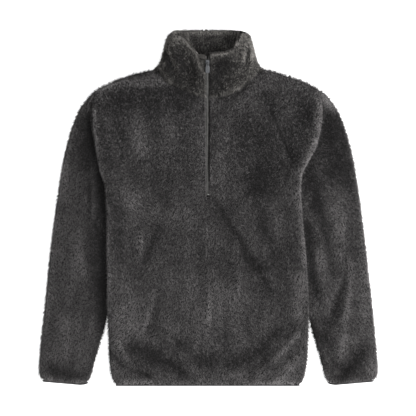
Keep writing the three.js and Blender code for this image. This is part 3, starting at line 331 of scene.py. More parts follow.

# Painted shade in creases and painted highlights on rolled edges: narrow strokes of tone, crisper than the
# nap
PAINTED_CREASES = {
    "front": table(
        STROKE,
        (90, 284, 78, 264, 4, -0.9), (-72, 258, -50, 252, 6, -0.9), (-72, 266, -60, 262, 5, -0.4),
        (-23, 246, -23, 228, 7, -0.4), (66, -55, 67, -188, 3.5, 0.5), (4, -180, -1, -288, 4.5, 0.5),
        (-131, -61, -155, -125, 4, 0.35), (-119, -65, -143, -129, 4, -0.3),
        (-116, -189, -141, -277, 4, 0.22), (-104, -192, -129, -280, 4, -0.15),
        (-123, 112, -123, 5, 3, -0.25), (139, 218, 183, 107, 2.5, -1.0), (12, -6, 102, -140, 9, -0.3),
    ),
    "collar": table(
        STROKE,
        (-93, 346, -84, 314, 3.5, -2.2), (-90, 322, -86, 300, 4, -0.8), (-86, 352, -76, 316, 3, 1.0),
        (-37, 327, -26, 290, 3.5, -1.3), (-56, 322, -52, 306, 7, -0.9), (-33, 349, -25, 340, 3, 0.9),
        (-25, 340, -20, 320, 3, 1.0), (-20, 320, -10, 300, 3, 0.9), (-62, 372, -50, 362, 4, 0.9),
        (91, 352, 80, 312, 2.5, -0.9), (84, 360, 80, 326, 3.5, 0.9), (97, 342, 90, 302, 3.5, 1.0),
        (46, 347, 58, 360, 3.5, 1.0), (8, 331, 54, 331, 6, -0.6), (10, 322, 40, 318, 8, -0.3),
        (92, 286, 84, 270, 4, -0.9), (-45, 272, -42, 260, 5, 0.5), (20, 346, 40, 349, 3, 0.5),
    ),
    "collar_inside": table(
        STROKE,
        (-36, 372, -33, 352, 5, 0.6), (30, 366, 36, 350, 6, 0.6),
    ),
    "chin_guard": table(
        STROKE,
        (-18, 327, -16, 312, 2.2, -1.3), (-14, 333, -8, 331, 3, 0.7),
    ),
}

# Grain that grows from the waist up over the chest, as a share of the cloth's own
CHEST_GRAIN = {"front": 0.3}
CHEST_GRAIN_Y = (0.0, 120.0)


def clamp(value, low, high):
    return np.minimum(np.maximum(value, low), high)


def lerp(a, b, t):
    return a + (b - a) * t


def smoothstep(value, low, high):
    t = clamp((value - low) / (high - low), 0.0, 1.0)
    return t * t * (3 - 2 * t)


def curve(rows, by, key):
    """Smooth curve without overshoot through one column, read by another."""
    order = np.argsort(rows[by])
    at, value = rows[by][order], rows[key][order]
    slope = np.diff(value) / np.diff(at)
    before = np.concatenate([slope[:1], slope])
    after = np.concatenate([slope, slope[-1:]])
    product = before * after
    tangent = np.where(product <= 0, 0.0, 2 * product / np.where(before + after == 0, 1, before + after))

    def read(position):
        p = clamp(np.asarray(position, float), at[0], at[-1])
        i = clamp(np.searchsorted(at, p, side="right") - 1, 0, len(at) - 2).astype(int)
        span = at[i + 1] - at[i]
        t = (p - at[i]) / span
        rest = 1 - t
        start = value[i] * (1 + 2 * t) * rest * rest + tangent[i] * span * t * rest * rest
        end = value[i + 1] * (3 - 2 * t) * t * t - tangent[i + 1] * span * t * t * rest
        return start + end

    return read


def fold_height(folds, x, y):
    """Height added at points by soft folds."""
    total = np.zeros(np.broadcast(x, y).shape)
    for x0, y0, x1, y1, width, height in zip(*(folds[k] for k in STROKE.split())):
        length = math.hypot(x1 - x0, y1 - y0)
        ux, uy = (x1 - x0) / length, (y1 - y0) / length
        run = (x - x0) * ux + (y - y0) * uy
        off = (x - x0) * uy - (y - y0) * ux
        reach = max(width, STROKE_END)
        ends = smoothstep(run, -reach, reach) * smoothstep(length - run, -reach, reach)
        total += height * ends * np.exp(-((off / width) ** 2))
    return total


def soft_noise(x, y, size, seed):
    """Smooth noise from -1 to 1 with features of about the given size."""
    lattice = np.random.default_rng(seed).uniform(-1, 1, (NOISE_CELLS, NOISE_CELLS))
    gx, gy = np.asarray(x) / size + NOISE_SHIFT, np.asarray(y) / size + NOISE_SHIFT
    ix, iy = np.floor(gx).astype(int), np.floor(gy).astype(int)
    tx, ty = gx - ix, gy - iy
    tx, ty = tx * tx * (3 - 2 * tx), ty * ty * (3 - 2 * ty)

    def pick(a, b):
        return lattice[(ix + a) % NOISE_CELLS, (iy + b) % NOISE_CELLS]

    low = lerp(pick(0, 0), pick(1, 0), tx)
    high = lerp(pick(0, 1), pick(1, 1), tx)
    return lerp(low, high, ty)


def add_noise(value, x, y, layers):
    """A value with layers of smooth noise added."""
    for strength, size, seed in layers:
        value = value + strength * soft_noise(x, y, size, seed)
    return value


edge = {side: curve(BODY_EDGE, "y", side) for side in ("left", "right")}
slit = {side: curve(SLIT, "y", side) for side in ("left", "right")}
neck_x = {side: curve(NECKLINE, "y", side) for side in ("left", "right")}
neck_from = {side: curve(NECKLINE, side, "y") for side in ("left", "right")}
fold = {key: curve(SIDE_FOLD, "y", key) for key in ("tuck", "seam", "under", "top")}
shoulder_y = curve(SHOULDER, "x", "y")
seam_y = curve(SHOULDER_SEAM, "x", "y")
collar_half = curve(COLLAR_RINGS, "up", "half")
collar_front = curve(COLLAR_RINGS, "up", "front")
collar_slit = curve(COLLAR_RINGS, "up", "slit_left")
rim_front = curve(COLLAR_RIM, "x", "y")
rim_back = curve(COLLAR_BACK_RIM, "x", "y")
SIGN = {"left": 1.0, "right": -1.0}


def neck_y(x):
    """The neckline in plan."""
    return np.where(np.asarray(x) < 0, neck_from["left"](x), neck_from["right"](x))


def front_top_y(x):
    """Where the front ends, at the neckline or the shoulder seam."""
    return np.minimum(neck_y(x), seam_y(x)) - SEAM_GAP


def back_neck_y(x):
    """The back's neck edge in plan."""
    return BACK_NECK_Y + BACK_NECK_RISE * smoothstep(np.abs(x), *BACK_NECK_TURN)


def front_height(x, y):
    """Height of the front's pile tips."""
    inset = np.minimum(x - edge["left"](y), edge["right"](y) - x) - FOLD_REACH
    side = np.exp(-((np.maximum(inset, 0) / FOLD_FADE) ** 2))
    hem = smoothstep(y, HEM_Y, HEM_Y + HEM_FADE)
    shape = fold_height(FRONT_FOLDS, x, y) + fold_height(FINE_FOLDS, x, y)
    shape = add_noise(shape, x, y, FRONT_NOISE)
    plain = lerp(BODY_LEVEL, fold["top"](y), side)
    turned = lerp(LOWEST_LEVEL, plain + shape * hem, HEM_LOW + (1 - HEM_LOW) * hem)
    return np.maximum(turned, LOWEST_LEVEL)


def bend(path, steps):
    """Points along quadratic bends through the middles of a control path's legs."""

    def middle(a, b):
        return ((a[0] + b[0]) / 2, (a[1] + b[1]) / 2)

    points = []
    for k in range(1, len(path) - 1):
        start = path[0] if k == 1 else middle(path[k - 1], path[k])
        end = path[-1] if k == len(path) - 2 else middle(path[k], path[k + 1])
        for step in range(0 if k == 1 else 1, steps + 1):
            t = step / steps
            a, b, c = (1 - t) ** 2, 2 * t * (1 - t), t * t
            points.append(tuple(a * start[i] + b * path[k][i] + c * end[i] for i in (0, 1)))
    return points


def side_paths(y, steps):
    """Outer and inner paths round the front's folded side: distance in from the edge, and height."""
    tuck, seam, under, top = (fold[key](y) for key in ("tuck", "seam", "under", "top"))
    zero = np.zeros_like(y)
    lining = np.minimum(under + FLEECE, top - FLEECE) + LINING_STEP
    deep = zero + FLEECE + SEAM_GAP
    outer = [(tuck, seam), (tuck, under), (zero, under), (zero, top), (zero + FOLD_REACH, top)]
    inner = [(tuck + FLEECE, seam), (tuck + FLEECE, lining), (deep, lining), (deep, lining)]
    inner.append((zero + FOLD_REACH + LINING_SHIFT, top - FLEECE))
    return bend(outer, steps), bend(inner, steps)


def front_top(side, f):
    """The front's top edge at a share of the way from its side to the slit."""
    x = lerp(edge[side](CHEST_Y), slit[side](CHEST_Y), f)
    for _ in range(ROUNDS):
        y = front_top_y(x)
        x = lerp(edge[side](y) + SIGN[side] * FOLD_REACH, slit[side](y), f)
    return front_top_y(x)


def points(x, y, z):
    """Points in one array from their three parts."""
    return np.stack(np.broadcast_arrays(x, y, z), axis=-1)


def front_grids(rows, broad, steps):
    """Outer and inner points of the front, from the left side seam over the top to the right one."""
    v = np.linspace(0, 1, rows + 1)
    halves = {}
    for side in ("left", "right"):
        sign = SIGN[side]
        y = lerp(HEM_Y, float(front_top(side, 0.0)), v)
        outer, inner = side_paths(y, steps)
        out = [points(edge[side](y) + sign * d, y, z) for d, z in outer]
        ins = [points(edge[side](y) + sign * d, y, z) for d, z in inner]
        for f in np.linspace(0, 1, broad + 1)[1:]:
            y = lerp(HEM_Y, float(front_top(side, f)), v)
            x = lerp(edge[side](y) + sign * FOLD_REACH, slit[side](y), f)
            z = front_height(x, y)
            out.append(points(x, y, z))
            ins.append(points(x, y, z - FLEECE))
        halves[side] = (out, ins)
    grids = []
    for k in (0, 1):
        grids.append(np.stack(halves["left"][k] + halves["right"][k][::-1], axis=1))
    return grids


def back_grids(rows, half_columns, neck_columns, steps):
    """Outer and inner points of the back, flat and then rolled over the shoulders."""
    columns = [("left", f) for f in np.linspace(0, 1, half_columns + 1)]
    columns += [("neck", f) for f in neck_columns]
    columns += [("right", f) for f in np.linspace(1, 0, half_columns + 1)]
    away = {"left": -1.0, "right": 1.0}

    def side_x(side, y):
        return edge[side](y) - away[side] * (fold["tuck"](y) + BACK_INSET)

    def strip_x(side, f, y, reach):
        free = neck_x["left"](y) - BACK_INSET - SEAM_GAP if side == "left" else BACK_NECK_HALF
        neck = lerp(away[side] * BACK_NECK_HALF, free, smoothstep(reach, 0, FLEECE))
        return lerp(side_x(side, y), neck, f)

    def flat_x(side, f, y):
        if side == "neck":
            return lerp(-BACK_NECK_HALF, BACK_NECK_HALF, f) + 0 * y
        return lerp(side_x(side, y), away[side] * BACK_NECK_HALF, f)

    corner = [edge[s](front_top(s, 0.0)) + SIGN[s] * FOLD_REACH for s in ("left", "right")]
    v = np.linspace(0, 1, rows + 1)
    outer, inner = [], []
    for side, f in columns:
        x_top = flat_x(side, f, np.array(SHOULDER_END_Y))
        top = back_neck_y(x_top) - SEAM_GAP if side == "neck" else shoulder_y(abs(x_top)) - SHOULDER_ROLL
        y = lerp(HEM_Y, float(top), v)
        flat = points(flat_x(side, f, y), y, 0.0)
        lining = points(flat_x(side, f, y), y, FLEECE)
        if side == "neck":
            extra = np.repeat(flat[-1:], 2 * steps, axis=0)
            extra_in = np.repeat(lining[-1:], 2 * steps, axis=0)
            outer.append(np.concatenate([flat, extra]))
            inner.append(np.concatenate([lining, extra_in]))
            continue
        crown = float(top) + SHOULDER_ROLL
        reach = SHOULDER_ROLL
        for _ in range(ROUNDS):
            end_x = clamp(strip_x(side, f, np.array(crown - reach), reach), *corner)
            reach = max(crown - float(front_top_y(end_x)) - 5 * SEAM_GAP, SHOULDER_ROLL / 3)
        level = float(front_height(end_x, front_top_y(end_x)))
        bottom = FLEECE + SEAM_GAP
        out = bend([(SHOULDER_ROLL, 0.0), (0.0, 0.0), (0.0, level), (reach, level)], steps)
        ins = bend([(SHOULDER_ROLL, FLEECE), (bottom, FLEECE), (bottom, level - FLEECE),
                    (reach, level - FLEECE)], steps)
        roll, roll_in = [], []
        for k in range(1, len(out)):
            y_k = np.array(crown - out[k][0])
            x_k = flat_x(side, f, y_k) if k < len(out) / 2 else strip_x(side, f, y_k, out[k][0])
            roll.append((float(x_k), float(y_k), out[k][1]))
            roll_in.append((float(x_k), crown - ins[k][0], ins[k][1]))
        outer.append(np.concatenate([flat, np.array(roll)]))
        inner.append(np.concatenate([lining, np.array(roll_in)]))
    return np.stack(outer, axis=1), np.stack(inner, axis=1), columns


def sleeve_grids(side, rows, broad_columns, under_columns):
    """Outer and inner points round a flat sleeve, from shoulder to cuff."""
    mirror = SIGN[side]
    order = np.arange(len(SLEEVE_SECTIONS["outer_x"]), dtype=float)
    tucked = edge[side](SLEEVE_SECTIONS["inner_y"]) + mirror * (
        fold["tuck"](SLEEVE_SECTIONS["inner_y"]) - SLEEVE_INSET)
    free = np.isnan(SLEEVE_SECTIONS["inner_x"])
    tracks = {
        "order": order,
        "ox": mirror * (SLEEVE_SECTIONS["outer_x"] - SLEEVE_REACH[side]), "oy": SLEEVE_SECTIONS["outer_y"],
        "ix": np.where(free, tucked, mirror * np.nan_to_num(SLEEVE_SECTIONS["inner_x"])),
        "iy": SLEEVE_SECTIONS["inner_y"], "rise": SLEEVE_SECTIONS["rise"],
    }
    v = np.linspace(0, 1, rows + 1)
    s = v * order[-1]
    ox, oy, ix, iy, rise = (curve(tracks, "order", key)(s) for key in ("ox", "oy", "ix", "iy", "rise"))
    width = np.hypot(ox - ix, oy - iy)
    round_ = SLEEVE_EDGE / 2
    flat_end = np.minimum(SLEEVE_FLAT_INNER, width / 2 - 1)
    plump = SLEEVE_CROWN * smoothstep(width, SLEEVE_THIN, SLEEVE_FULL)
    plump = plump * (1 - CUFF_FLAT * smoothstep(v, CUFF_FROM, 1))

    def place(d, z):
        t = d / width
        return points(lerp(ix, ox, t), lerp(iy, oy, t), z)

    def crest(d):
        p = place(d, 0.0)
        hump = smoothstep(d, flat_end, flat_end + SLEEVE_RAMP)
        hump = hump * smoothstep(width - d, round_, round_ + SLEEVE_RAMP)
        lift = rise * (1 - smoothstep(d, round_, width / 2))
        soft = fold_height(SLEEVE_FOLDS[side], p[:, 0], p[:, 1])
        soft = add_noise(soft, p[:, 0], p[:, 1], SLEEVE_NOISE)
        return np.maximum(SLEEVE_EDGE + plump * hump + lift + soft * hump, SLEEVE_EDGE)

    turns = np.radians(EDGE_TURNS)
    outer, inner = [], []

    def add(d_out, z_out, d_in, z_in):
        outer.append(place(d_out, z_out))
        inner.append(place(d_in, z_in))

    def edge_step(turn):
        return round_ * (1 - math.cos(turn)) + 0 * width

    none = 0 * width
    mid = round_ + none
    add(none, mid, FLEECE + none, mid)
    for a in turns:
        d = edge_step(a)
        high = round_ + round_ * math.sin(a) + rise * math.sin(a)
        add(d, high, FLEECE + LINING_TURN * d, round_ + LINING_STEP + LINING_RISE * rise)
    add(mid, crest(mid), FLEECE + LINING_CORNER + none, crest(mid) - FLEECE)
    for f in np.linspace(0, 1, broad_columns + 1):
        d = lerp(flat_end, width - round_, f)
        add(d, crest(d), np.minimum(d, width - FLEECE - LINING_CORNER), crest(d) - FLEECE)
    for a in turns[::-1]:
        d = edge_step(a)
        high = round_ + round_ * math.sin(a)
        add(width - d, high, width - FLEECE - LINING_TURN * d, round_ + LINING_STEP + none)
    add(width, mid, width - FLEECE, mid)
    for a in turns:
        d = edge_step(a)
        high = round_ - round_ * math.sin(a)
        add(width - d, high, width - FLEECE - LINING_TURN * d, round_ - LINING_STEP + none)
    add(width - round_, none, width - FLEECE - LINING_CORNER, round_ - LINING_DROP + none)
    for f in np.linspace(1, 0, under_columns + 2)[1:-1]:
        d = lerp(mid, width - round_, f)
        add(d, none, d, FLEECE + none)
    add(mid, none, FLEECE + LINING_CORNER + none, round_ - LINING_DROP + none)
    for a in turns[::-1]:
        d = edge_step(a)
        add(d, round_ - round_ * math.sin(a), FLEECE + LINING_TURN * d, round_ - LINING_STEP + none)
    return np.stack(outer, axis=1), np.stack(inner, axis=1), iy


def collar_front_y(x, up):
    """The collar's front in plan, from its seam to its rim."""
    return lerp(neck_y(x) + COLLAR_GAP, rim_front(x), up)


def collar_lift(x, y, up):
    """Folds and unevenness of the collar's outside."""
    soft = add_noise(0.0, x, y, COLLAR_NOISE) * math.sin(math.pi * up)
    return (soft + fold_height(COLLAR_FOLDS, x, y)) * float(smoothstep(up, 0.0, COLLAR_FOLD_UP))


def collar_grids(rows, straight, bends, back_columns):
    """Outer and inner points of the collar, from the zip's left edge round the back to its right edge.

    A point of a ring holds its place, then its outward way in x and z."""
    outer, inner = [], []
    for up in np.linspace(0, 1, rows + 1):
        half = float(collar_half(up)) - COLLAR_REST
        radius = (float(collar_front(up)) - COLLAR_REST) / 2
        end = half - radius
        ring = []

        def front(x):
            return np.array([x, float(collar_front_y(x, up)), float(collar_front(up)), 0, 1])

        def back(x):
            y = lerp(float(back_neck_y(x)) + SEAM_GAP, float(rim_back(x)), up)
            return np.array([x, y, COLLAR_REST, 0, -1])

        def side(sign, f):
            turn = math.pi * f
            share = (1 - math.cos(turn)) / 2
            if sign > 0:
                share = lerp(share, min(2 * share, 1.0), up ** 3)
            y = lerp(front(sign * end)[1], back(sign * end)[1], share)
            z = COLLAR_REST + radius * (1 + math.cos(turn))
            x = sign * (end + radius * math.sin(turn))
            return np.array([x, y, z, sign * math.sin(turn), math.cos(turn)])

        for f in np.linspace(0, 1, straight + 1):
            ring.append(front(lerp(float(collar_slit(up)), -end, f)))
        ring += [side(-1, f) for f in np.linspace(0, 1, bends + 1)[1:-1]]
        ring += [back(lerp(-end, end, f)) for f in np.linspace(0, 1, back_columns + 1)]
        ring += [side(1, f) for f in np.linspace(1, 0, bends + 1)[1:-1]]
        for f in np.linspace(1, 0, straight + 1):
            ring.append(front(lerp(float(slit["right"](COLLAR_SLIT_Y)), end, f)))
        ring = np.array(ring)
        ring[:, 0] += COLLAR_RIGHT_WIDER * smoothstep(ring[:, 0], *COLLAR_RIGHT_X)
        ring[:, 1] += COLLAR_SIDE_RISE * up ** 3 * np.maximum(ring[:, 3], 0)
        rolled_in = smoothstep(ring[:, 0], *COLLAR_ROLL_X)
        facing = np.maximum(smoothstep(ring[:, 3], 0, COLLAR_ROLL_TURN), ring[:, 4] > COLLAR_FACING)
        rolled_in = rolled_in * facing
        ring[:, 0] -= COLLAR_ROLL * float(smoothstep(up, COLLAR_ROLL_UP, 1.0)) * rolled_in
        highest = COLLAR_TOP_Y - COLLAR_CORNER_DROP * smoothstep(ring[:, 0], *COLLAR_CORNER_X)
        ring[:, 1] = np.minimum(ring[:, 1], highest)
        lift = collar_lift(ring[:, 0], ring[:, 1], up) * np.maximum(ring[:, 4], 0)
        ring[:, 0] += lift * ring[:, 3]
        ring[:, 2] += lift * ring[:, 4]
        wall = np.stack([ring[:, 3], 0 * ring[:, 3], ring[:, 4]], axis=1) * COLLAR_REST
        outer.append(ring[:, :3] + wall)
        inner.append(ring[:, :3] - wall)
    return np.stack(outer), np.stack(inner)


def grid_normals(grid, around=False):
    """Unit normals of a grid of points, across columns times along rows."""
    if around:
        wide = np.concatenate([grid[:, -1:], grid, grid[:, :1]], axis=1)
        across = wide[:, 2:] - wide[:, :-2]
    else:
        across = np.gradient(grid, axis=1)
    along = np.gradient(grid, axis=0)
    normal = np.cross(across, along)
    return normal / np.maximum(np.linalg.norm(normal, axis=-1, keepdims=True), TINY)


def new_object(name, verts, faces, tone=None, normals=None):
    """A mesh object, with a tone and a shading normal for each point if given."""
    mesh = bpy.data.meshes.new(name)
    mesh.from_pydata((np.asarray(verts, float) * MM).tolist(), [], np.asarray(faces).tolist())
    mesh.polygons.foreach_set("use_smooth", np.ones(len(mesh.polygons), bool))
    if normals is not None:
        mesh.normals_split_custom_set_from_vertices(normals.tolist())
    if tone is not None:
        layer = mesh.attributes.new("tone", "FLOAT", "POINT")
        layer.data.foreach_set("value", np.asarray(tone, np.float32))
    obj = bpy.data.objects.new(name, mesh)
    bpy.context.scene.collection.objects.link(obj)
    return obj


def cloth_wall(name, outer, inner, keep=None, around=False):
    """Closed wall between two matching grids; keep marks the cells that are cloth."""
    rows, columns = outer.shape[:2]
    cells = columns if around else columns - 1
    keep = np.ones((rows - 1, cells), bool) if keep is None else keep
    ident = np.arange(rows * columns).reshape(rows, columns)
    if around:
        ident = np.concatenate([ident, ident[:, :1]], axis=1)
    low, shift = ident, rows * columns
    quads = np.stack([low[:-1, :-1], low[:-1, 1:], low[1:, 1:], low[1:, :-1]], axis=-1)
    faces = [quads[keep], (quads[keep] + shift)[:, ::-1]]
    padded = np.zeros((rows + 1, cells + 2), bool)
    padded[1:-1, 1:-1] = keep
    if around:
        padded[1:-1, 0], padded[1:-1, -1] = keep[:, -1], keep[:, 0]
    for dr, dc, a, b in ((-1, 0, 0, 1), (1, 0, 2, 3), (0, -1, 3, 0), (0, 1, 1, 2)):
        beyond = padded[1 + dr:rows + dr, 1 + dc:cells + 1 + dc]
        border = quads[keep & ~beyond]
        if len(border):
            p, q = border[:, a], border[:, b]
            faces.append(np.stack([q, p, p + shift, q + shift], axis=1))
    verts = np.concatenate([outer.reshape(-1, 3), inner.reshape(-1, 3)])
    used = np.unique(np.concatenate(faces))
    renumber = np.zeros(len(verts), int)
    renumber[used] = np.arange(len(used))
    obj = new_object(name, verts[used], renumber[np.concatenate(faces)])
    if signed_volume(obj) < 0:
        obj.data.flip_normals()
    return obj


def signed_volume(obj):
    """Six times the volume, below zero where the faces look inwards."""
    mesh = obj.data
    mesh.calc_loop_triangles()
    co = np.empty(len(mesh.vertices) * 3)
    mesh.vertices.foreach_get("co", co)
    tri = np.empty(len(mesh.loop_triangles) * 3, int)
    mesh.loop_triangles.foreach_get("vertices", tri)
    a, b, c = co.reshape(-1, 3)[tri.reshape(-1, 3)].transpose(1, 0, 2)
    return float(np.einsum("ij,ij->i", a, np.cross(b, c)).sum())


# Pile: closed three-sided tufts, drawn together in small clumps
CLUMP = 4.6
CLUMP_KINDS = 4096
CLUMP_SEED = 77
CLUMP_LOOK_SEED = 5
CLUMP_KEYS = (73856093, 19349663, 83492791)
TUFT_HALF = 0.85
OWN_NORMAL = 0.3
LOWEST_TIP = 0.1
DENSITY = 0.42
MOST_TUFTS = 39500


def scatter(grid, normal, mask, density=DENSITY, around=False):
    """Even random points on the cells of a grid, with their normals."""
    if around:
        grid = np.concatenate([grid, grid[:, :1]], axis=1)
        normal = np.concatenate([normal, normal[:, :1]], axis=1)
    a, b, c, d = grid[:-1, :-1], grid[:-1, 1:], grid[1:, 1:], grid[1:, :-1]
    area = 0.5 * np.linalg.norm(np.cross(c - a, d - b), axis=-1) * mask
    total = np.cumsum(area.ravel())
    count = min(int(total[-1] * density), MOST_TUFTS)
    draws = (np.arange(count) + rng.random(count)) / count * total[-1]
    cell = clamp(np.searchsorted(total, draws), 0, area.size - 1)
    r, k = np.unravel_index(cell, area.shape)
    s, t = rng.random(count)[:, None], rng.random(count)[:, None]

    def mix(g):
        low = lerp(g[r, k], g[r, k + 1], s)
        high = lerp(g[r + 1, k], g[r + 1, k + 1], s)
        return lerp(low, high, t)

    n = mix(normal)
    return mix(grid), n / np.maximum(np.linalg.norm(n, axis=1, keepdims=True), TINY)


def clumps(p):
    """The nearest of one random centre per cube of space, and that clump's number."""
    base = np.floor(p / CLUMP).astype(int)
    best, gap, kind = np.zeros_like(p), np.full(len(p), np.inf), np.zeros(len(p), int)
    jitter = np.random.default_rng(CLUMP_SEED).random((CLUMP_KINDS, 3))
    for step in np.ndindex(3, 3, 3):
        cube = base + np.array(step) - 1
        mixed = cube * CLUMP_KEYS
        key = (mixed[:, 0] ^ mixed[:, 1] ^ mixed[:, 2]) % CLUMP_KINDS
        centre = (cube + jitter[key]) * CLUMP
        far = ((centre - p) ** 2).sum(axis=1)
        nearer = far < gap
        best[nearer], gap[nearer], kind[nearer] = centre[nearer], far[nearer], key[nearer]
    return best, kind


# Plan of the whole garment, from which the pile knows how near the outline is
CELL = 1.5
PLAN_HALF = 420.0
PLAN_STEPS = 8
RIM_STEPS = 14
ZIP_COVER_X = (-16, 10)
ZIP_COVER_TOP = 345


def plan_gap(grids):
    """Distance in plan inwards from the outline of all the cloth, for each cell of a plan."""
    inside = np.zeros((int(2 * PLAN_HALF / CELL),) * 2, bool)
    for grid in grids:
        flat = grid[..., :2]
        for s, t in np.ndindex(PLAN_STEPS + 1, PLAN_STEPS + 1):
            low = lerp(flat[:-1, :-1], flat[:-1, 1:], s / PLAN_STEPS)
            high = lerp(flat[1:, :-1], flat[1:, 1:], s / PLAN_STEPS)
            cell = ((lerp(low, high, t / PLAN_STEPS) + PLAN_HALF) / CELL).astype(int)
            inside[cell[..., 0], cell[..., 1]] = True
    zip_low = ((np.array((ZIP_COVER_X[0], ZIP_END_Y)) + PLAN_HALF) / CELL).astype(int)
    zip_high = ((np.array((ZIP_COVER_X[1], ZIP_COVER_TOP)) + PLAN_HALF) / CELL).astype(int)
    inside[zip_low[0]:zip_high[0], zip_low[1]:zip_high[1]] = True
    gap = np.zeros(inside.shape)
    for step in range(RIM_STEPS):
        gap += inside
        core = inside.copy()
        for axis in (0, 1):
            for way in (-1, 1):
                core &= np.roll(inside, way, axis)
        if step % 2:
            for a, b in ((-1, -1), (-1, 1), (1, -1), (1, 1)):
                core &= np.roll(inside, (a, b), (0, 1))
        inside = core
    return gap * CELL


# Tones and leanings of the pile
NAP_AND_PAINTED_LIGHT_DEPTH = 1.35
STREAK = 0.17
STREAK_ACROSS = 3.4
STREAK_ALONG = 0.6
STREAK_SIZE = 48
STREAK_SEED = 24
RIM_LIGHT = 1.3
RIM_DEEP = 6.5
LEAN = 0.75
LEAN_BY_PATCH = 0.35
LEAN_LIMITS = (0.25, 1.1)
HEM_LEAN = 0.3
HEM_LEAN_DEEP = 14
WAY_SIZE = 70
WAY_SEED = 23
CLUMP_PULL = 0.07
CLUMP_WILD = 0.3
TUFT_WILD = 0.26
LOW_TUFT = 0.3
LOW_TUFT_LIFT = 0.6
LEAST_UPRIGHT = 0.5
TUFT_LENGTHS = (0.7, 1.05)
TUFT_WIDTHS = (0.7, 1.2)
TUFT_LONGEST = 1.5
TUFT_FOOT = 0.4
SIDEWAYS = np.array([0.37, 0.61, 0.7])
BROW_TURN = (0.2, 0.8)
BROW_LONGER = 0.95
BROW_SHORTER = 0.1
FRINGE_PAINTED_HIGHLIGHT = 0.5
ROOT_PAINTED_SHADE = 0.5
CLUMP_TONE = 0.75
TUFT_TONE = 1.15
CALM_LIGHT = 0.4
WILD_DARK = 0.45
CALM_CREASE = 0.5
UNEVEN = {"front": 0.4, "back": 0.36, "sleeve_left": 0.2, "sleeve_right": 0.36, "collar": 0.88,
          "collar_inside": 0.55, "chin_guard": 0.85}


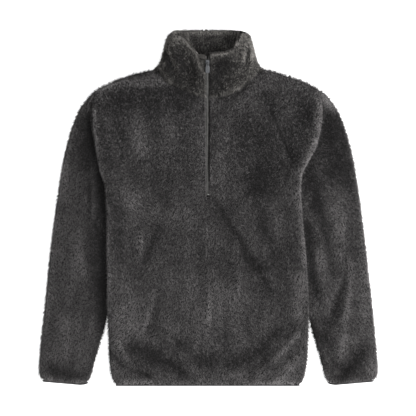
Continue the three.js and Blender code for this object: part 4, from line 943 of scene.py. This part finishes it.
def tufts(root, normal, length, strokes, shade=1.0, fringe=None):
    """Vertices, faces, tones and shading normals of the tufts on these roots.

    The fringe is where pile stands against the background, from 0 to 1: there it is uneven, and its tone
    carries a painted rim highlight."""
    count = len(root)
    x, y = root[:, 0], root[:, 1]
    # Tone from the nap strokes, which hold painted shade and painted highlights as well as the nap's own lie
    nap_and_painted_light = NAP_AND_PAINTED_LIGHT_DEPTH * fold_height(NAP_AND_PAINTED_LIGHT[strokes], x, y)
    nap_and_painted_light = add_noise(nap_and_painted_light, x, y, PATCH_NOISE)
    nap_and_painted_light = nap_and_painted_light + STREAK * soft_noise(STREAK_ACROSS * x, STREAK_ALONG * y, STREAK_SIZE, STREAK_SEED)
    cell = ((root[:, :2] + PLAN_HALF) / CELL).astype(int)
    # Painted rim highlight: pile drawn lighter the nearer it stands to the outline
    nap_and_painted_light = nap_and_painted_light + RIM_LIGHT * np.exp(-rim_gap[cell[:, 0], cell[:, 1]] / RIM_DEEP)
    lean = clamp(LEAN + LEAN_BY_PATCH * nap_and_painted_light, *LEAN_LIMITS)
    lean = lean * (HEM_LEAN + (1 - HEM_LEAN) * smoothstep(y, HEM_Y, HEM_Y + HEM_LEAN_DEEP))
    angle = -math.pi / 2 + soft_noise(x, y, WAY_SIZE, WAY_SEED)
    flat = np.stack([np.cos(angle), np.sin(angle), 0 * angle], axis=1)
    flat -= normal * (flat * normal).sum(axis=1, keepdims=True)
    centre, kind = clumps(root)
    pull = centre - root
    pull -= normal * (pull * normal).sum(axis=1, keepdims=True)
    clump_rng = np.random.default_rng(CLUMP_LOOK_SEED)
    clump_way = clump_rng.normal(0, CLUMP_WILD, (CLUMP_KINDS, 3))[kind]
    clump_tone = clump_rng.uniform(-1, 1, CLUMP_KINDS)[kind]
    wild = rng.normal(0, TUFT_WILD, (count, 3))
    way = normal + flat * lean[:, None] + CLUMP_PULL * pull + clump_way + wild
    way /= np.linalg.norm(way, axis=1, keepdims=True)
    upright = (way * normal).sum(axis=1)
    low = upright < LOW_TUFT
    way[low] += normal[low] * LOW_TUFT_LIFT
    way /= np.linalg.norm(way, axis=1, keepdims=True)
    upright = np.maximum((way * normal).sum(axis=1), LEAST_UPRIGHT)
    size = np.minimum(length * rng.uniform(*TUFT_LENGTHS, count) / upright, TUFT_LONGEST * length)
    brow = 0.0 if fringe is None else fringe * smoothstep(1 - np.abs(normal[:, 2]), *BROW_TURN)
    size *= 1 + brow * (BROW_LONGER * rng.random(count) ** 2 - BROW_SHORTER)
    side = np.cross(way, SIDEWAYS)
    side /= np.maximum(np.linalg.norm(side, axis=1, keepdims=True), TINY)
    other = np.cross(way, side)
    spin = rng.uniform(0, 2 * np.pi, count)
    wide = TUFT_HALF * rng.uniform(*TUFT_WIDTHS, count)
    foot = root - normal * TUFT_FOOT
    verts = np.empty((count, 4, 3))
    for k in range(3):
        a = spin + k * 2 * np.pi / 3
        verts[:, k] = foot + wide[:, None] * (np.cos(a)[:, None] * side + np.sin(a)[:, None] * other)
    verts[:, 3] = root + way * size[:, None]
    verts[..., 2] = np.maximum(verts[..., 2], LOWEST_TIP)
    base = np.arange(count)[:, None] * 4
    faces = np.concatenate([base + f for f in ((0, 1, 3), (1, 2, 3), (2, 0, 3), (0, 2, 1))])
    spread = UNEVEN[strokes] * (1 - CALM_LIGHT * clamp(nap_and_painted_light, 0, 1)) + WILD_DARK * clamp(-nap_and_painted_light, 0, 1)
    spread = spread * (1 + CHEST_GRAIN.get(strokes, 0.0) * smoothstep(y, *CHEST_GRAIN_Y))
    # Painted crease shade and painted rolled-edge highlights
    painted_crease = fold_height(PAINTED_CREASES[strokes], x, y) if strokes in PAINTED_CREASES else np.zeros(count)
    uneven = CLUMP_TONE * spread * clump_tone + TUFT_TONE * spread * rng.uniform(-1, 1, count)
    uneven = uneven * (1 - CALM_CREASE * clamp(np.abs(painted_crease), 0, 1))
    # Fringe tufts get a painted rim highlight on top of their tone
    own = shade * np.exp(nap_and_painted_light + uneven + painted_crease) * (1 + FRINGE_PAINTED_HIGHLIGHT * brow)
    tone = np.empty((count, 4))
    # Roots are darker than tips: painted shade deep in the pile
    tone[:, :3] = (ROOT_PAINTED_SHADE * own)[:, None]
    tone[:, 3] = own
    radial = verts - foot[:, None, :]
    radial /= np.maximum(np.linalg.norm(radial, axis=2, keepdims=True), TINY)
    shading = OWN_NORMAL * radial + (1 - OWN_NORMAL) * normal[:, None, :]
    shading /= np.linalg.norm(shading, axis=2, keepdims=True)
    return verts.reshape(-1, 3), faces, tone.ravel(), shading.reshape(-1, 3)


def rim(near, far, way, keep=None, density=DENSITY):
    """Roots and normals along a cloth's edge between two matching lines of points."""
    grid = np.stack([near, far])
    way = way / np.maximum(np.linalg.norm(way, axis=-1, keepdims=True), TINY)
    mask = np.ones((1, len(near) - 1)) if keep is None else keep[None, :]
    return scatter(grid, np.stack([way, way]), mask, density)


def pile_piece(name, batches):
    """One piece of pile from several batches of tufts."""
    starts = np.cumsum([0] + [len(batch[0]) for batch in batches])
    verts, tones, normals = (np.concatenate([batch[k] for batch in batches]) for k in (0, 2, 3))
    faces = np.concatenate([batch[1] + start for batch, start in zip(batches, starts)])
    return new_object(name, verts, faces, tones, normals)


# Materials
def material(name, colour, roughness, metallic=0.0):
    """A new material, with its nodes and its shader."""
    m = bpy.data.materials.new(name)
    m.use_nodes = True
    shader = m.node_tree.nodes["Principled BSDF"]
    shader.inputs["Base Color"].default_value = (*colour, 1)
    shader.inputs["Roughness"].default_value = roughness
    shader.inputs["Metallic"].default_value = metallic
    return m, m.node_tree, shader


def node(tree, kind, **values):
    """A new node with its settings and input values."""
    n = tree.nodes.new(kind)
    for key, value in values.items():
        if hasattr(n, key):
            setattr(n, key, value)
        else:
            n.inputs[key.replace("_", " ")].default_value = value
    return n


FLEECE_DARK = (0.010, 0.0097, 0.0098)
FLEECE_LIGHT = (0.261, 0.249, 0.2495)
COLLAR_LIGHT = (0.261, 0.2485, 0.234)
TONE_SHARE = 0.35
WOVEN_DARK = 0.75
WOVEN_LIGHT = 1.2


def object_texture(tree, kind, **values):
    """A texture that reads places on the object itself."""
    place = node(tree, "ShaderNodeTexCoord")
    texture = node(tree, kind, **values)
    tree.links.new(place.outputs["Object"], texture.inputs["Vector"])
    return texture


def two_tone(tree, shader, share, dark, light, low=0.0, high=1.0):
    """Colour a shader from dark to light by a share."""
    ramp = node(tree, "ShaderNodeValToRGB")
    for element, position, colour in zip(ramp.color_ramp.elements, (low, high), (dark, light)):
        element.position = position
        element.color = (*colour, 1)
    tree.links.new(share, ramp.inputs["Fac"])
    tree.links.new(ramp.outputs["Color"], shader.inputs["Base Color"])


def bumped(tree, shader, height, **values):
    """Raise and lower a shader's surface by a height."""
    bump = node(tree, "ShaderNodeBump", **values)
    tree.links.new(height, bump.inputs["Height"])
    tree.links.new(bump.outputs["Normal"], shader.inputs["Normal"])


def fleece_pile(name, dark, light, sheen):
    """Pile, coloured by the tone that each tuft carries, painted shade and painted highlights included."""
    m, tree, shader = material(name, light, roughness=0.85)
    tone = node(tree, "ShaderNodeAttribute", attribute_name="tone")
    noise = object_texture(tree, "ShaderNodeTexNoise", Scale=260.0, Detail=2.0)
    vary = node(tree, "ShaderNodeMapRange", To_Min=0.8, To_Max=1.2)
    tree.links.new(noise.outputs["Fac"], vary.inputs["Value"])
    both = node(tree, "ShaderNodeMath", operation="MULTIPLY")
    tree.links.new(tone.outputs["Fac"], both.inputs[0])
    tree.links.new(vary.outputs["Result"], both.inputs[1])
    share = node(tree, "ShaderNodeMath", operation="MULTIPLY")
    share.inputs[1].default_value = TONE_SHARE
    tree.links.new(both.outputs[0], share.inputs[0])
    two_tone(tree, shader, share.outputs[0], dark, light)
    shader.inputs["Sheen Weight"].default_value = sheen
    shader.inputs["Sheen Roughness"].default_value = 0.5
    shader.inputs["Sheen Tint"].default_value = (0.9, 0.88, 0.88, 1)
    shader.inputs["Specular IOR Level"].default_value = 0.03
    return m


def fleece_ground(name, dark, light):
    """The cloth that the pile stands on."""
    m, tree, shader = material(name, dark, roughness=0.95)
    noise = object_texture(tree, "ShaderNodeTexNoise", Scale=420.0, Detail=4.0)
    two_tone(tree, shader, noise.outputs["Fac"], dark, light, low=0.35, high=0.75)
    bumped(tree, shader, noise.outputs["Fac"], Strength=0.8, Distance=0.001)
    shader.inputs["Specular IOR Level"].default_value = 0.05
    return m


def woven(name, colour, thread, strength):
    """Woven tape with fine ribs across it."""
    m, tree, shader = material(name, colour, roughness=0.8)
    wave = object_texture(tree, "ShaderNodeTexWave", Scale=thread, Distortion=0.6, bands_direction="Y")
    noise = object_texture(tree, "ShaderNodeTexNoise", Scale=900.0, Detail=3.0)
    dark = [WOVEN_DARK * c for c in colour]
    light = [WOVEN_LIGHT * c for c in colour]
    two_tone(tree, shader, noise.outputs["Fac"], dark, light)
    bumped(tree, shader, wave.outputs["Fac"], Strength=strength, Distance=0.0003)
    return m


def metal(name, colour):
    """Satin metal, a little uneven in its shine."""
    m, tree, shader = material(name, colour, roughness=0.34, metallic=0.7)
    noise = object_texture(tree, "ShaderNodeTexNoise", Scale=700.0, Detail=3.0)
    vary = node(tree, "ShaderNodeMapRange", To_Min=0.36, To_Max=0.56)
    tree.links.new(noise.outputs["Fac"], vary.inputs["Value"])
    tree.links.new(vary.outputs["Result"], shader.inputs["Roughness"])
    return m


pile_look = fleece_pile("fleece_pile", FLEECE_DARK, FLEECE_LIGHT, sheen=0.05)
collar_look = fleece_pile("collar_pile", FLEECE_DARK, COLLAR_LIGHT, sheen=0.05)
ground_look = fleece_ground("fleece_ground", (0.014, 0.0135, 0.0137), (0.045, 0.0435, 0.044))
tape_look = woven("zip_tape", (0.052, 0.051, 0.048), thread=900.0, strength=0.5)
binding_look = woven("binding", (0.035, 0.034, 0.035), thread=700.0, strength=0.6)
coil_look = woven("zip_coil", (0.15, 0.148, 0.142), thread=1200.0, strength=0.3)
metal_look = metal("zip_metal", (0.1, 0.103, 0.11))
stop_look = metal("zip_stop", (0.3, 0.3, 0.29))


def finish_piece(obj, look):
    """Give a piece of the pullover its look and its body."""
    obj.data.materials.clear()
    obj.data.materials.append(look)
    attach(obj, BODY)
    return obj


UP = np.array([0.0, 0.0, 1.0])

# How far a face may turn under and still carry pile, as the upward part of its normal
FRONT_UNDER = -0.5
SLEEVE_UNDER = -0.55
SLEEVE_TOP_UNDER = -0.3
COLLAR_UNDER = -0.7
GUARD_UNDER = -0.2

# Where the body and sleeves lie free of each other, as a distance below the middle
BODY_FREE = (230, 262)
SLEEVE_FREE = (235, 262)

# Sleeves: the turn of the outer side, the height that counts as lying on the table, and the tucked columns
OUTER_TURN = (-0.1, 0.3)
ON_TABLE = 0.5
SLEEVE_TUCKED = 5

# Pile on edges and shoulders, in lengths of pile, and the rows in which the back's roll takes it up
EDGE_PILE = 0.7
SHOULDER_PILE = 1.2
ROLL_ROWS = 3.0
BACK_EDGE_WAY = 0.5


def cell_mean(values):
    """Mean of each cell's four corners."""
    return 0.25 * (values[:-1, :-1] + values[:-1, 1:] + values[1:, 1:] + values[1:, :-1])


# Grids of all the cloth
BEND_STEPS = 4
front_out, front_in = front_grids(rows=110, broad=42, steps=BEND_STEPS)
collar_out, collar_in = collar_grids(rows=22, straight=26, bends=10, back_columns=34)
sleeve_sets = {}
for side in ("left", "right"):
    sleeve_sets[side] = sleeve_grids(side, rows=110, broad_columns=26, under_columns=8)
ROWS_FLAT = 60
back_out, back_in, back_columns = back_grids(
    ROWS_FLAT, half_columns=16, neck_columns=(0.045, 0.1, 0.165, 0.3, 0.5, 0.7, 0.835, 0.9, 0.955),
    steps=BEND_STEPS)
rim_gap = plan_gap(
    [front_out, back_out[ROWS_FLAT:], collar_out, sleeve_sets["left"][0], sleeve_sets["right"][0]])

# Front
front_n = grid_normals(front_out)
columns = front_out.shape[1]
turned = 3 * BEND_STEPS + 1
sink = np.full(front_out.shape[:2], SINK)
open_seam = 1 - smoothstep(front_out[..., 1], *SEAM_OPEN_Y)
for part in (slice(0, turned - BEND_STEPS), slice(columns - turned + BEND_STEPS, columns)):
    sink[:, part] *= open_seam[:, part]
front_low = front_out - sink[..., None] * front_n
centre = columns // 2 - 1
front_keep = np.ones((front_out.shape[0] - 1, columns - 1), bool)
front_keep[:, centre] = front_out[1:, centre, 1] <= ZIP_END_Y + LAYER_GAP
above = front_out[:-1, 0, 1] > UNDERARM_Y
front_keep[above, 0] = False
front_keep[above, -1] = False
front = cloth_wall("front_cloth", front_low, front_in, front_keep)
finish_piece(front, ground_look)
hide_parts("front")

front_mask = front_keep * (cell_mean(front_n[..., 2]) > FRONT_UNDER)
slit_rows = (~front_keep[:, centre]).astype(float)
SLIT_WAY = np.array([1.0, 0, 0.45])
edges = [
    rim(front_low[-1], front_in[-1], front_low[-1] - front_low[-2] + 2 * UP),
    rim(front_low[:, centre], front_in[:, centre], SLIT_WAY + 0 * front_low[:, centre], slit_rows),
    rim(front_low[:, centre + 1], front_in[:, centre + 1],
        SLIT_WAY * (-1, 1, 1) + 0 * front_low[:, centre], slit_rows),
]

# Pile over the zip: how its roots lie under the edge of the slit
ZIP_EDGE_WAY = 0.12
ZIP_EDGE_LOW = 2.0
ZIP_EDGE_HIGH = 0.8
ZIP_EDGE_DENSITY = 4

# How far it reaches, in lengths of pile, and where along the zip
LEFT_LEAST = 0.6
LEFT_CHEST = 0.3
LEFT_CHEST_Y = 140
LEFT_CHEST_SPAN = 50
LEFT_COLLAR = 1.05
LEFT_COLLAR_Y = (185, 235)
RIGHT_MOST = 0.9
RIGHT_END = 0.3
RIGHT_END_Y = 40
RIGHT_END_SPAN = 30
LEFT_RAGGED = ((0.3, 17, 31),)
RIGHT_RAGGED = ((0.3, 15, 32),)


def over_zip(top, toward, reach, shade, strokes, keep=None):
    """Tufts from a slit's edge that lie over the zip tape; top is the edge at the pile's tips."""
    way = np.array([toward, 0, ZIP_EDGE_WAY]) + 0 * top
    root, n = rim(top - ZIP_EDGE_LOW * UP, top - ZIP_EDGE_HIGH * UP, way, keep, ZIP_EDGE_DENSITY * DENSITY)
    return tufts(root, n, reach(root[:, 1]), strokes, shade)


def left_reach(y):
    """Length of the pile over the zip from its left side."""
    chest = LEFT_CHEST * np.exp(-(((y - LEFT_CHEST_Y) / LEFT_CHEST_SPAN) ** 2))
    wide = LEFT_COLLAR * smoothstep(y, *LEFT_COLLAR_Y)
    return PILE * add_noise(LEFT_LEAST + chest + wide, 0 * y, y, LEFT_RAGGED)


def right_reach(y):
    """Length of the pile over the zip from its right side."""
    end = RIGHT_END * np.exp(-(((y - RIGHT_END_Y) / RIGHT_END_SPAN) ** 2))
    return PILE * add_noise(RIGHT_MOST - end, 0 * y, y, RIGHT_RAGGED)


# The right edge's tufts are drawn dark (shade 0.62) as painted shadow beside the zip
zip_edges = [
    over_zip(front_out[:, centre], 1.0, left_reach, 1.1, "front", slit_rows),
    over_zip(front_out[:, centre + 1], -1.0, right_reach, 0.62, "front", slit_rows),
]
for k, band in enumerate(np.array_split(np.arange(front_mask.shape[0]), 3)):
    mask = np.zeros_like(front_mask, float)
    mask[band] = front_mask[band]
    root, n = scatter(front_low, front_n, mask)
    batches = [tufts(root, n, PILE, "front", fringe=smoothstep(-root[:, 1], *BODY_FREE))]
    if k == 2:
        batches += [tufts(*edge_roots, EDGE_PILE * PILE, "front") for edge_roots in edges] + zip_edges
    finish_piece(pile_piece(f"front_pile_{k + 1}", batches), pile_look)

# Back
neck = np.array([c[0] == "neck" for c in back_columns])
neck_cell = neck[:-1] | neck[1:]
back_keep = np.ones((back_out.shape[0] - 1, back_out.shape[1] - 1), bool)
back_keep[ROWS_FLAT:, neck_cell] = False
first, last = int(np.argmax(neck)) - 1, len(neck) - int(np.argmax(neck[::-1]))
for column in (first, last - 1):
    back_keep[ROWS_FLAT:ROWS_FLAT + BEND_STEPS, column] = True
back_n = -grid_normals(back_out)
rolled = clamp((np.arange(back_out.shape[0]) - ROWS_FLAT) / ROLL_ROWS, 0, 1)[:, None, None]
back_low = back_out - SINK * back_n * rolled
back = cloth_wall("back_cloth", back_low, back_in, back_keep)
finish_piece(back, ground_look)
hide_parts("back")
back_mask = back_keep.astype(float)
back_mask[:ROWS_FLAT + 1] = 0
batches = [tufts(*scatter(back_low, back_n, back_mask), SHOULDER_PILE * PILE, "back", fringe=1.0)]
end_way = back_low[-1] - back_low[-2] + 2 * UP
batches.append(tufts(*rim(back_low[-1], back_in[-1], end_way, (~neck_cell).astype(float)), PILE, "back"))
for column, toward in ((0, -1.0), (first, 1.0), (last, -1.0), (len(neck) - 1, 1.0)):
    way = np.array([toward, 0, BACK_EDGE_WAY]) + 0 * back_low[ROWS_FLAT:, column]
    batches.append(tufts(*rim(back_low[ROWS_FLAT:, column], back_in[ROWS_FLAT:, column], way), PILE, "back"))
back_pile = finish_piece(pile_piece("back_pile", batches), pile_look)

# Sleeves
sleeves, sleeve_piles = {}, {}
for side in ("left", "right"):
    out, ins, inner_y = sleeve_sets[side]
    n = grid_normals(out, around=True) * SIGN[side]
    sink = np.where(out[..., 2] < ON_TABLE, 0.0, SINK)
    open_seam = 1 - smoothstep(out[..., 1], *SEAM_OPEN_Y)
    for part in (slice(0, SLEEVE_TUCKED + 1), slice(out.shape[1] - SLEEVE_TUCKED, out.shape[1])):
        sink[:, part] *= open_seam[:, part]
    low = out - sink[..., None] * n
    keep = np.ones((out.shape[0] - 1, out.shape[1]), bool)
    opened = inner_y[:-1] > UNDERARM_Y
    keep[opened, 0] = False
    keep[opened, -1] = False
    sleeve = cloth_wall(f"sleeve_{side}_cloth", low, ins, keep, around=True)
    finish_piece(sleeve, ground_look)
    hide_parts(f"sleeve_{side}")
    facing = cell_mean(np.concatenate([n, n[:, :1]], axis=1)[..., 2])
    mask = keep * (facing > SLEEVE_UNDER)
    strokes = f"sleeve_{side}"
    top_way = low[0] - low[1] + 2 * UP
    top_keep = (cell_mean(np.stack([n[0], n[0]])[..., 2]) > SLEEVE_TOP_UNDER).astype(float)[0]
    root, away = scatter(low, n, mask, around=True)
    outer_side = smoothstep(-SIGN[side] * away[:, 0], *OUTER_TURN)
    free_side = smoothstep(-root[:, 1], *SLEEVE_FREE)
    batches = [
        tufts(root, away, PILE, strokes, fringe=np.maximum(outer_side, free_side)),
        tufts(*rim(low[0], ins[0], top_way, top_keep), PILE, strokes),
    ]
    sleeve_piles[side] = finish_piece(pile_piece(f"sleeve_{side}_pile", batches), pile_look)
    sleeves[side] = sleeve

# Collar
out_n = -grid_normals(collar_out)
in_n = grid_normals(collar_in)
INNER_PILE = 3.4
INNER_SINK = 0.8
SHOWN_FROM = 0.35
SEAM_Y = (272, 311)
SEAM_STEPS = 24
SEAM_HALF = 3.0
SEAM_DOWN = 1.5
SEAM_SLOPE = 2.5
COLLAR_ZIP_END = 292
collar_low = collar_out - SINK * out_n
collar_inner = collar_in - INNER_SINK * INNER_PILE * in_n
collar = cloth_wall("collar_cloth", collar_low, collar_inner)
finish_piece(collar, ground_look)
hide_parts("collar")
seam_ys = np.linspace(*SEAM_Y, SEAM_STEPS)
seam_line = points(neck_x["left"](seam_ys), seam_ys, BODY_LEVEL - SEAM_DOWN)
seam_way = np.array([-0.5, 0.1, 1.0]) + 0 * seam_line
seam_roots = rim(
    seam_line - (SEAM_HALF, 0, 0), seam_line + (SEAM_HALF, 0, SEAM_SLOPE), seam_way, density=2 * DENSITY)
# Seam tufts drawn dark (shade 0.62): painted shade where the collar meets the shoulder
neck_seam = tufts(*seam_roots, 1.2 * PILE, "collar", shade=0.62)
whole = np.ones((collar_out.shape[0] - 1, collar_out.shape[1] - 1))
outward = whole * (cell_mean(out_n[..., 2]) > COLLAR_UNDER)
shown_inside = whole * (np.arange(len(whole)) > SHOWN_FROM * len(whole))[:, None]
low_zip = (collar_out[:-1, 0, 1] < COLLAR_ZIP_END).astype(float)
up_way = collar_low[-1] - collar_low[-2]
edge_way = np.array([1.0, 0, 0.8]) + 0 * collar_low[:, 0]
down_way = collar_low[0] - collar_low[1] + 0.5 * UP
batches = [
    tufts(*scatter(collar_low, out_n, outward), PILE, "collar", shade=0.78, fringe=1.0),
    tufts(*scatter(collar_inner, in_n, shown_inside), INNER_PILE, "collar_inside", shade=0.95),
    # Rim tufts drawn light (shade 1.45): a painted highlight along the collar's rim
    tufts(*rim(collar_low[-1], collar_inner[-1], up_way, density=1.6 * DENSITY), 0.85 * PILE, "collar",
          shade=1.45, fringe=0.6),
    tufts(*rim(collar_low[0], collar_inner[0], down_way), 1.2 * PILE, "collar"),
    tufts(*rim(collar_low[0], collar_low[1], out_n[0] + 0.3 * down_way / 4 + 0.4 * UP), 1.5 * PILE, "collar"),
    tufts(*rim(collar_low[:, 0], collar_inner[:, 0], edge_way), 0.8 * PILE, "collar"),
    tufts(*rim(collar_low[:, -1], collar_inner[:, -1], edge_way * (-1, 1, 1)), 0.8 * PILE, "collar"),
    # Right edge drawn dark (shade 0.6): painted shadow beside the zip
    over_zip(collar_out[:, -1], -1.0, right_reach, 0.6, "collar"),
    over_zip(collar_out[:, 0], 1.0, left_reach, 0.9, "collar", low_zip),
    neck_seam,
]
collar_pile = finish_piece(pile_piece("collar_pile", batches), collar_look)


# Chin guard
def solid_roots(solid, density=DENSITY):
    """Roots and normals on the upper faces of a solid."""
    solid.data.calc_loop_triangles()
    corners = np.array([[solid.matrix_world @ solid.data.vertices[v].co for v in tri.vertices]
                        for tri in solid.data.loop_triangles]) / MM
    way = np.cross(corners[:, 1] - corners[:, 0], corners[:, 2] - corners[:, 0])
    size = np.linalg.norm(way, axis=1)
    way /= np.maximum(size, TINY)[:, None]
    share = np.cumsum(np.where(way[:, 2] > GUARD_UNDER, size / 2, 0.0))
    count = int(share[-1] * density)
    pick = clamp(np.searchsorted(share, rng.random(count) * share[-1]), 0, len(share) - 1)
    a, b = np.sqrt(rng.random(count))[:, None], rng.random(count)[:, None]
    tri = corners[pick]
    return tri[:, 0] * (1 - a) + tri[:, 1] * a * (1 - b) + tri[:, 2] * a * b, way[pick]


CAP_X = (-23, -4)
CAP_STEPS = 12
CAP_NOISE = ((1.5, 6, 33),)
CAP_LOW = (0, 319, 36.5)
CAP_HIGH = (0, 334, 40.5)
GUARD_TOP_Y = 322
GUARD_TOP_WAY = np.array([0, 0.85, 0.53])
cap_line = points(np.linspace(*CAP_X, CAP_STEPS), 0.0, 0.0)
cap_line[:, 1] = add_noise(cap_line[:, 1], cap_line[:, 0], cap_line[:, 1], CAP_NOISE)
cap_way = np.array([-0.25, 0.7, 0.7]) + 0 * cap_line
cap_roots = rim(cap_line + CAP_LOW, cap_line + CAP_HIGH, cap_way, density=1.5 * DENSITY)
# The guard's tufts are drawn light (shades of 1.4 to 1.8): painted light lifting the guard out of the shade
# of the collar and pull
guard_cap = tufts(*cap_roots, 1.3 * PILE, "chin_guard", shade=1.7)
root, n = solid_roots(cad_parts["chin_guard"], 2 * DENSITY)
high = root[:, 1] > GUARD_TOP_Y
top_root = root[high] - 1.0 * n[high]
batches = [
    tufts(root - 0.4 * n, n, 1.15 * PILE, "chin_guard", shade=1.4),
    tufts(top_root, 0 * top_root + GUARD_TOP_WAY, 1.6 * PILE, "chin_guard", shade=1.8),
    guard_cap,
]
finish_piece(pile_piece("chin_guard_pile", batches), collar_look)

# Cuff bindings, turned up at the rounded corner
CUFF_CORNER_X = 282.0
CUFF_CORNER_DEEP = 20.0
CUFF_CORNER_RISE = 6.0
for side in ("left", "right"):
    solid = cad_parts[f"cuff_binding_{side}"]
    band = solid.copy()
    band.data = solid.data.copy()
    band.name = f"cuff_band_{side}"
    bpy.context.scene.collection.objects.link(band)
    for vertex in band.data.vertices:
        near = (CUFF_CORNER_X - abs(vertex.co.x) / MM) / CUFF_CORNER_DEEP
        vertex.co.y += CUFF_CORNER_RISE * MM * max(near, 0.0) ** 2
    finish_piece(band, binding_look)
    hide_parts(f"cuff_binding_{side}")

# Zip: coil teeth, end stop, softened slider and pull
TOOTH_PITCH = 1.3
COIL_PATH = table(
    "y x",
    (30, 0.2), (60, -0.6), (100, -1.9), (150, -1.7), (200, -0.6), (250, -1.5), (310, -1),
)
TOOTH = np.array([1.5, 0.85, 0.9])
TOOTH_OFF = 0.75
TOOTH_UP = 0.3
TOOTH_SLANT = 0.25
COIL_TOP_Y = 309.0
STOP = np.array([4.6, 3.2, 1.8])
STOP_OFF = 1.2
STOP_ABOVE_END = 2.4


def boxes(centres, size, slant):
    """Vertices and faces of small boxes, each slanted in plan."""
    corner = np.array([(a, b, c) for a in (-1, 1) for b in (-1, 1) for c in (-1, 1)], float) * size / 2
    corner = corner + np.stack([0 * corner[:, 0], slant * corner[:, 0], 0 * corner[:, 0]], axis=1)
    verts = (centres[:, None, :] + corner).reshape(-1, 3)
    quads = np.array([(0, 1, 3, 2), (4, 6, 7, 5), (0, 4, 5, 1), (2, 3, 7, 6), (0, 2, 6, 4), (1, 5, 7, 3)])
    return verts, (np.arange(len(centres))[:, None, None] * 8 + quads).reshape(-1, 4)


tape_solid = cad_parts["zip_tape_left"]
tape_points = np.array([tape_solid.matrix_world @ v.co for v in tape_solid.data.vertices]) / MM
tape_at = np.unique(tape_points[:, 1].round(1))
tape_top = np.array([tape_points[np.abs(tape_points[:, 1] - y) < 0.2, 2].max() for y in tape_at])
coil_x = curve(COIL_PATH, "y", "x")
tooth_y = np.arange(ZIP_END_Y + 4, COIL_TOP_Y, TOOTH_PITCH)
teeth = []
for shift, sign in ((0.0, -1.0), (TOOTH_PITCH / 2, 1.0)):
    y = tooth_y + shift
    z = np.interp(y, tape_at, tape_top) + TOOTH_UP
    teeth.append(boxes(points(coil_x(y) + sign * TOOTH_OFF, y, z), TOOTH, TOOTH_SLANT * sign))
coil = new_object("zip_coil", np.concatenate([t[0] for t in teeth]),
                  np.concatenate([teeth[0][1], teeth[1][1] + len(teeth[0][0])]))
coil.data.polygons.foreach_set("use_smooth", np.zeros(len(coil.data.polygons), bool))
finish_piece(coil, coil_look)
stop_at = points(np.array([ZIP_X + STOP_OFF]), ZIP_END_Y + STOP_ABOVE_END, tape_top[0] + STOP[2] / 2)
stop = new_object("zip_stop", *boxes(stop_at, STOP, 0.0))
finish_piece(stop, stop_look)


SHARP_ANGLE = 0.6
SOFT_EDGE = 0.3


def softened(name, source, width):
    """A copy of a solid with its edges rounded off."""
    obj = source.copy()
    obj.data = source.data.copy()
    obj.name = name
    bpy.context.scene.collection.objects.link(obj)
    form = bmesh.new()
    form.from_mesh(obj.data)
    bmesh.ops.remove_doubles(form, verts=form.verts, dist=1e-6)
    sharp = [e for e in form.edges if e.is_manifold and e.calc_face_angle() > SHARP_ANGLE]
    bmesh.ops.bevel(
        form, geom=sharp, offset=width * MM, segments=2, profile=0.5, affect="EDGES",
        clamp_overlap=True)
    form.to_mesh(obj.data)
    form.free()
    obj.data.materials.clear()
    obj.data.materials.append(metal_look)
    return obj


slider = softened("zip_slider_fine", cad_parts["zip_slider"], SOFT_EDGE)
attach(slider, BODY)
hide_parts("zip_slider")
pull = softened("zip_pull_fine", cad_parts["zip_pull"], SOFT_EDGE)
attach(pull, "pull_tab")
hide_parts("zip_pull")

# Parts that show as their solids
for name, look in (
    ("chin_guard", ground_look), ("zip_tape_left", tape_look), ("zip_tape_right", tape_look),
    ("hem_binding", binding_look),
):
    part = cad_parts[name]
    part.data.materials.clear()
    part.data.materials.append(look)

# Floor, light, camera
FLOOR_HALF = 3.0
FLOOR_Z = -0.0004
FLOOR_GLOW = 0.8
WORLD_LIGHT = 0.2
floor = new_object(
    "floor", np.array([(-1, -1, 0), (1, -1, 0), (1, 1, 0), (-1, 1, 0)]) * FLOOR_HALF / MM, [(0, 1, 2, 3)])
floor.location.z = FLOOR_Z
floor_look, _, floor_shader = material("floor", (0.9, 0.9, 0.9), roughness=0.9)
floor_shader.inputs["Emission Color"].default_value = (1, 1, 1, 1)
floor_shader.inputs["Emission Strength"].default_value = FLOOR_GLOW
floor.data.materials.append(floor_look)

scene = bpy.context.scene
world = bpy.data.worlds.new("studio")
world.use_nodes = True
world.node_tree.nodes["Background"].inputs["Color"].default_value = (1, 1, 1, 1)
world.node_tree.nodes["Background"].inputs["Strength"].default_value = WORLD_LIGHT
scene.world = world


def area_light(name, place, size, power):
    """A square light that points at the middle of the garment."""
    data = bpy.data.lights.new(name, "AREA")
    data.shape = "SQUARE"
    data.size = size
    data.energy = power
    lamp = bpy.data.objects.new(name, data)
    lamp.location = place
    lamp.rotation_euler = (-Vector(place)).to_track_quat("-Z", "Y").to_euler()
    scene.collection.objects.link(lamp)
    return lamp


area_light("key", (4.8, -1.8, 4.0), size=3.6, power=500)
area_light("top", (0.2, -0.2, 3.4), size=2.0, power=34)

CAMERA_FAR = 4.0
FIELD = 0.9152
FIELD_Z = 0.012
CAMERA_Y = 0.0005
SENSOR = 36.0
camera_data = bpy.data.cameras.new("camera")
camera_data.sensor_width = SENSOR
camera_data.lens = SENSOR * (CAMERA_FAR - FIELD_Z) / FIELD
camera = bpy.data.objects.new("camera", camera_data)
camera.location = (0, CAMERA_Y, CAMERA_FAR)
scene.collection.objects.link(camera)
scene.camera = camera
scene.view_settings.view_transform = "Standard"
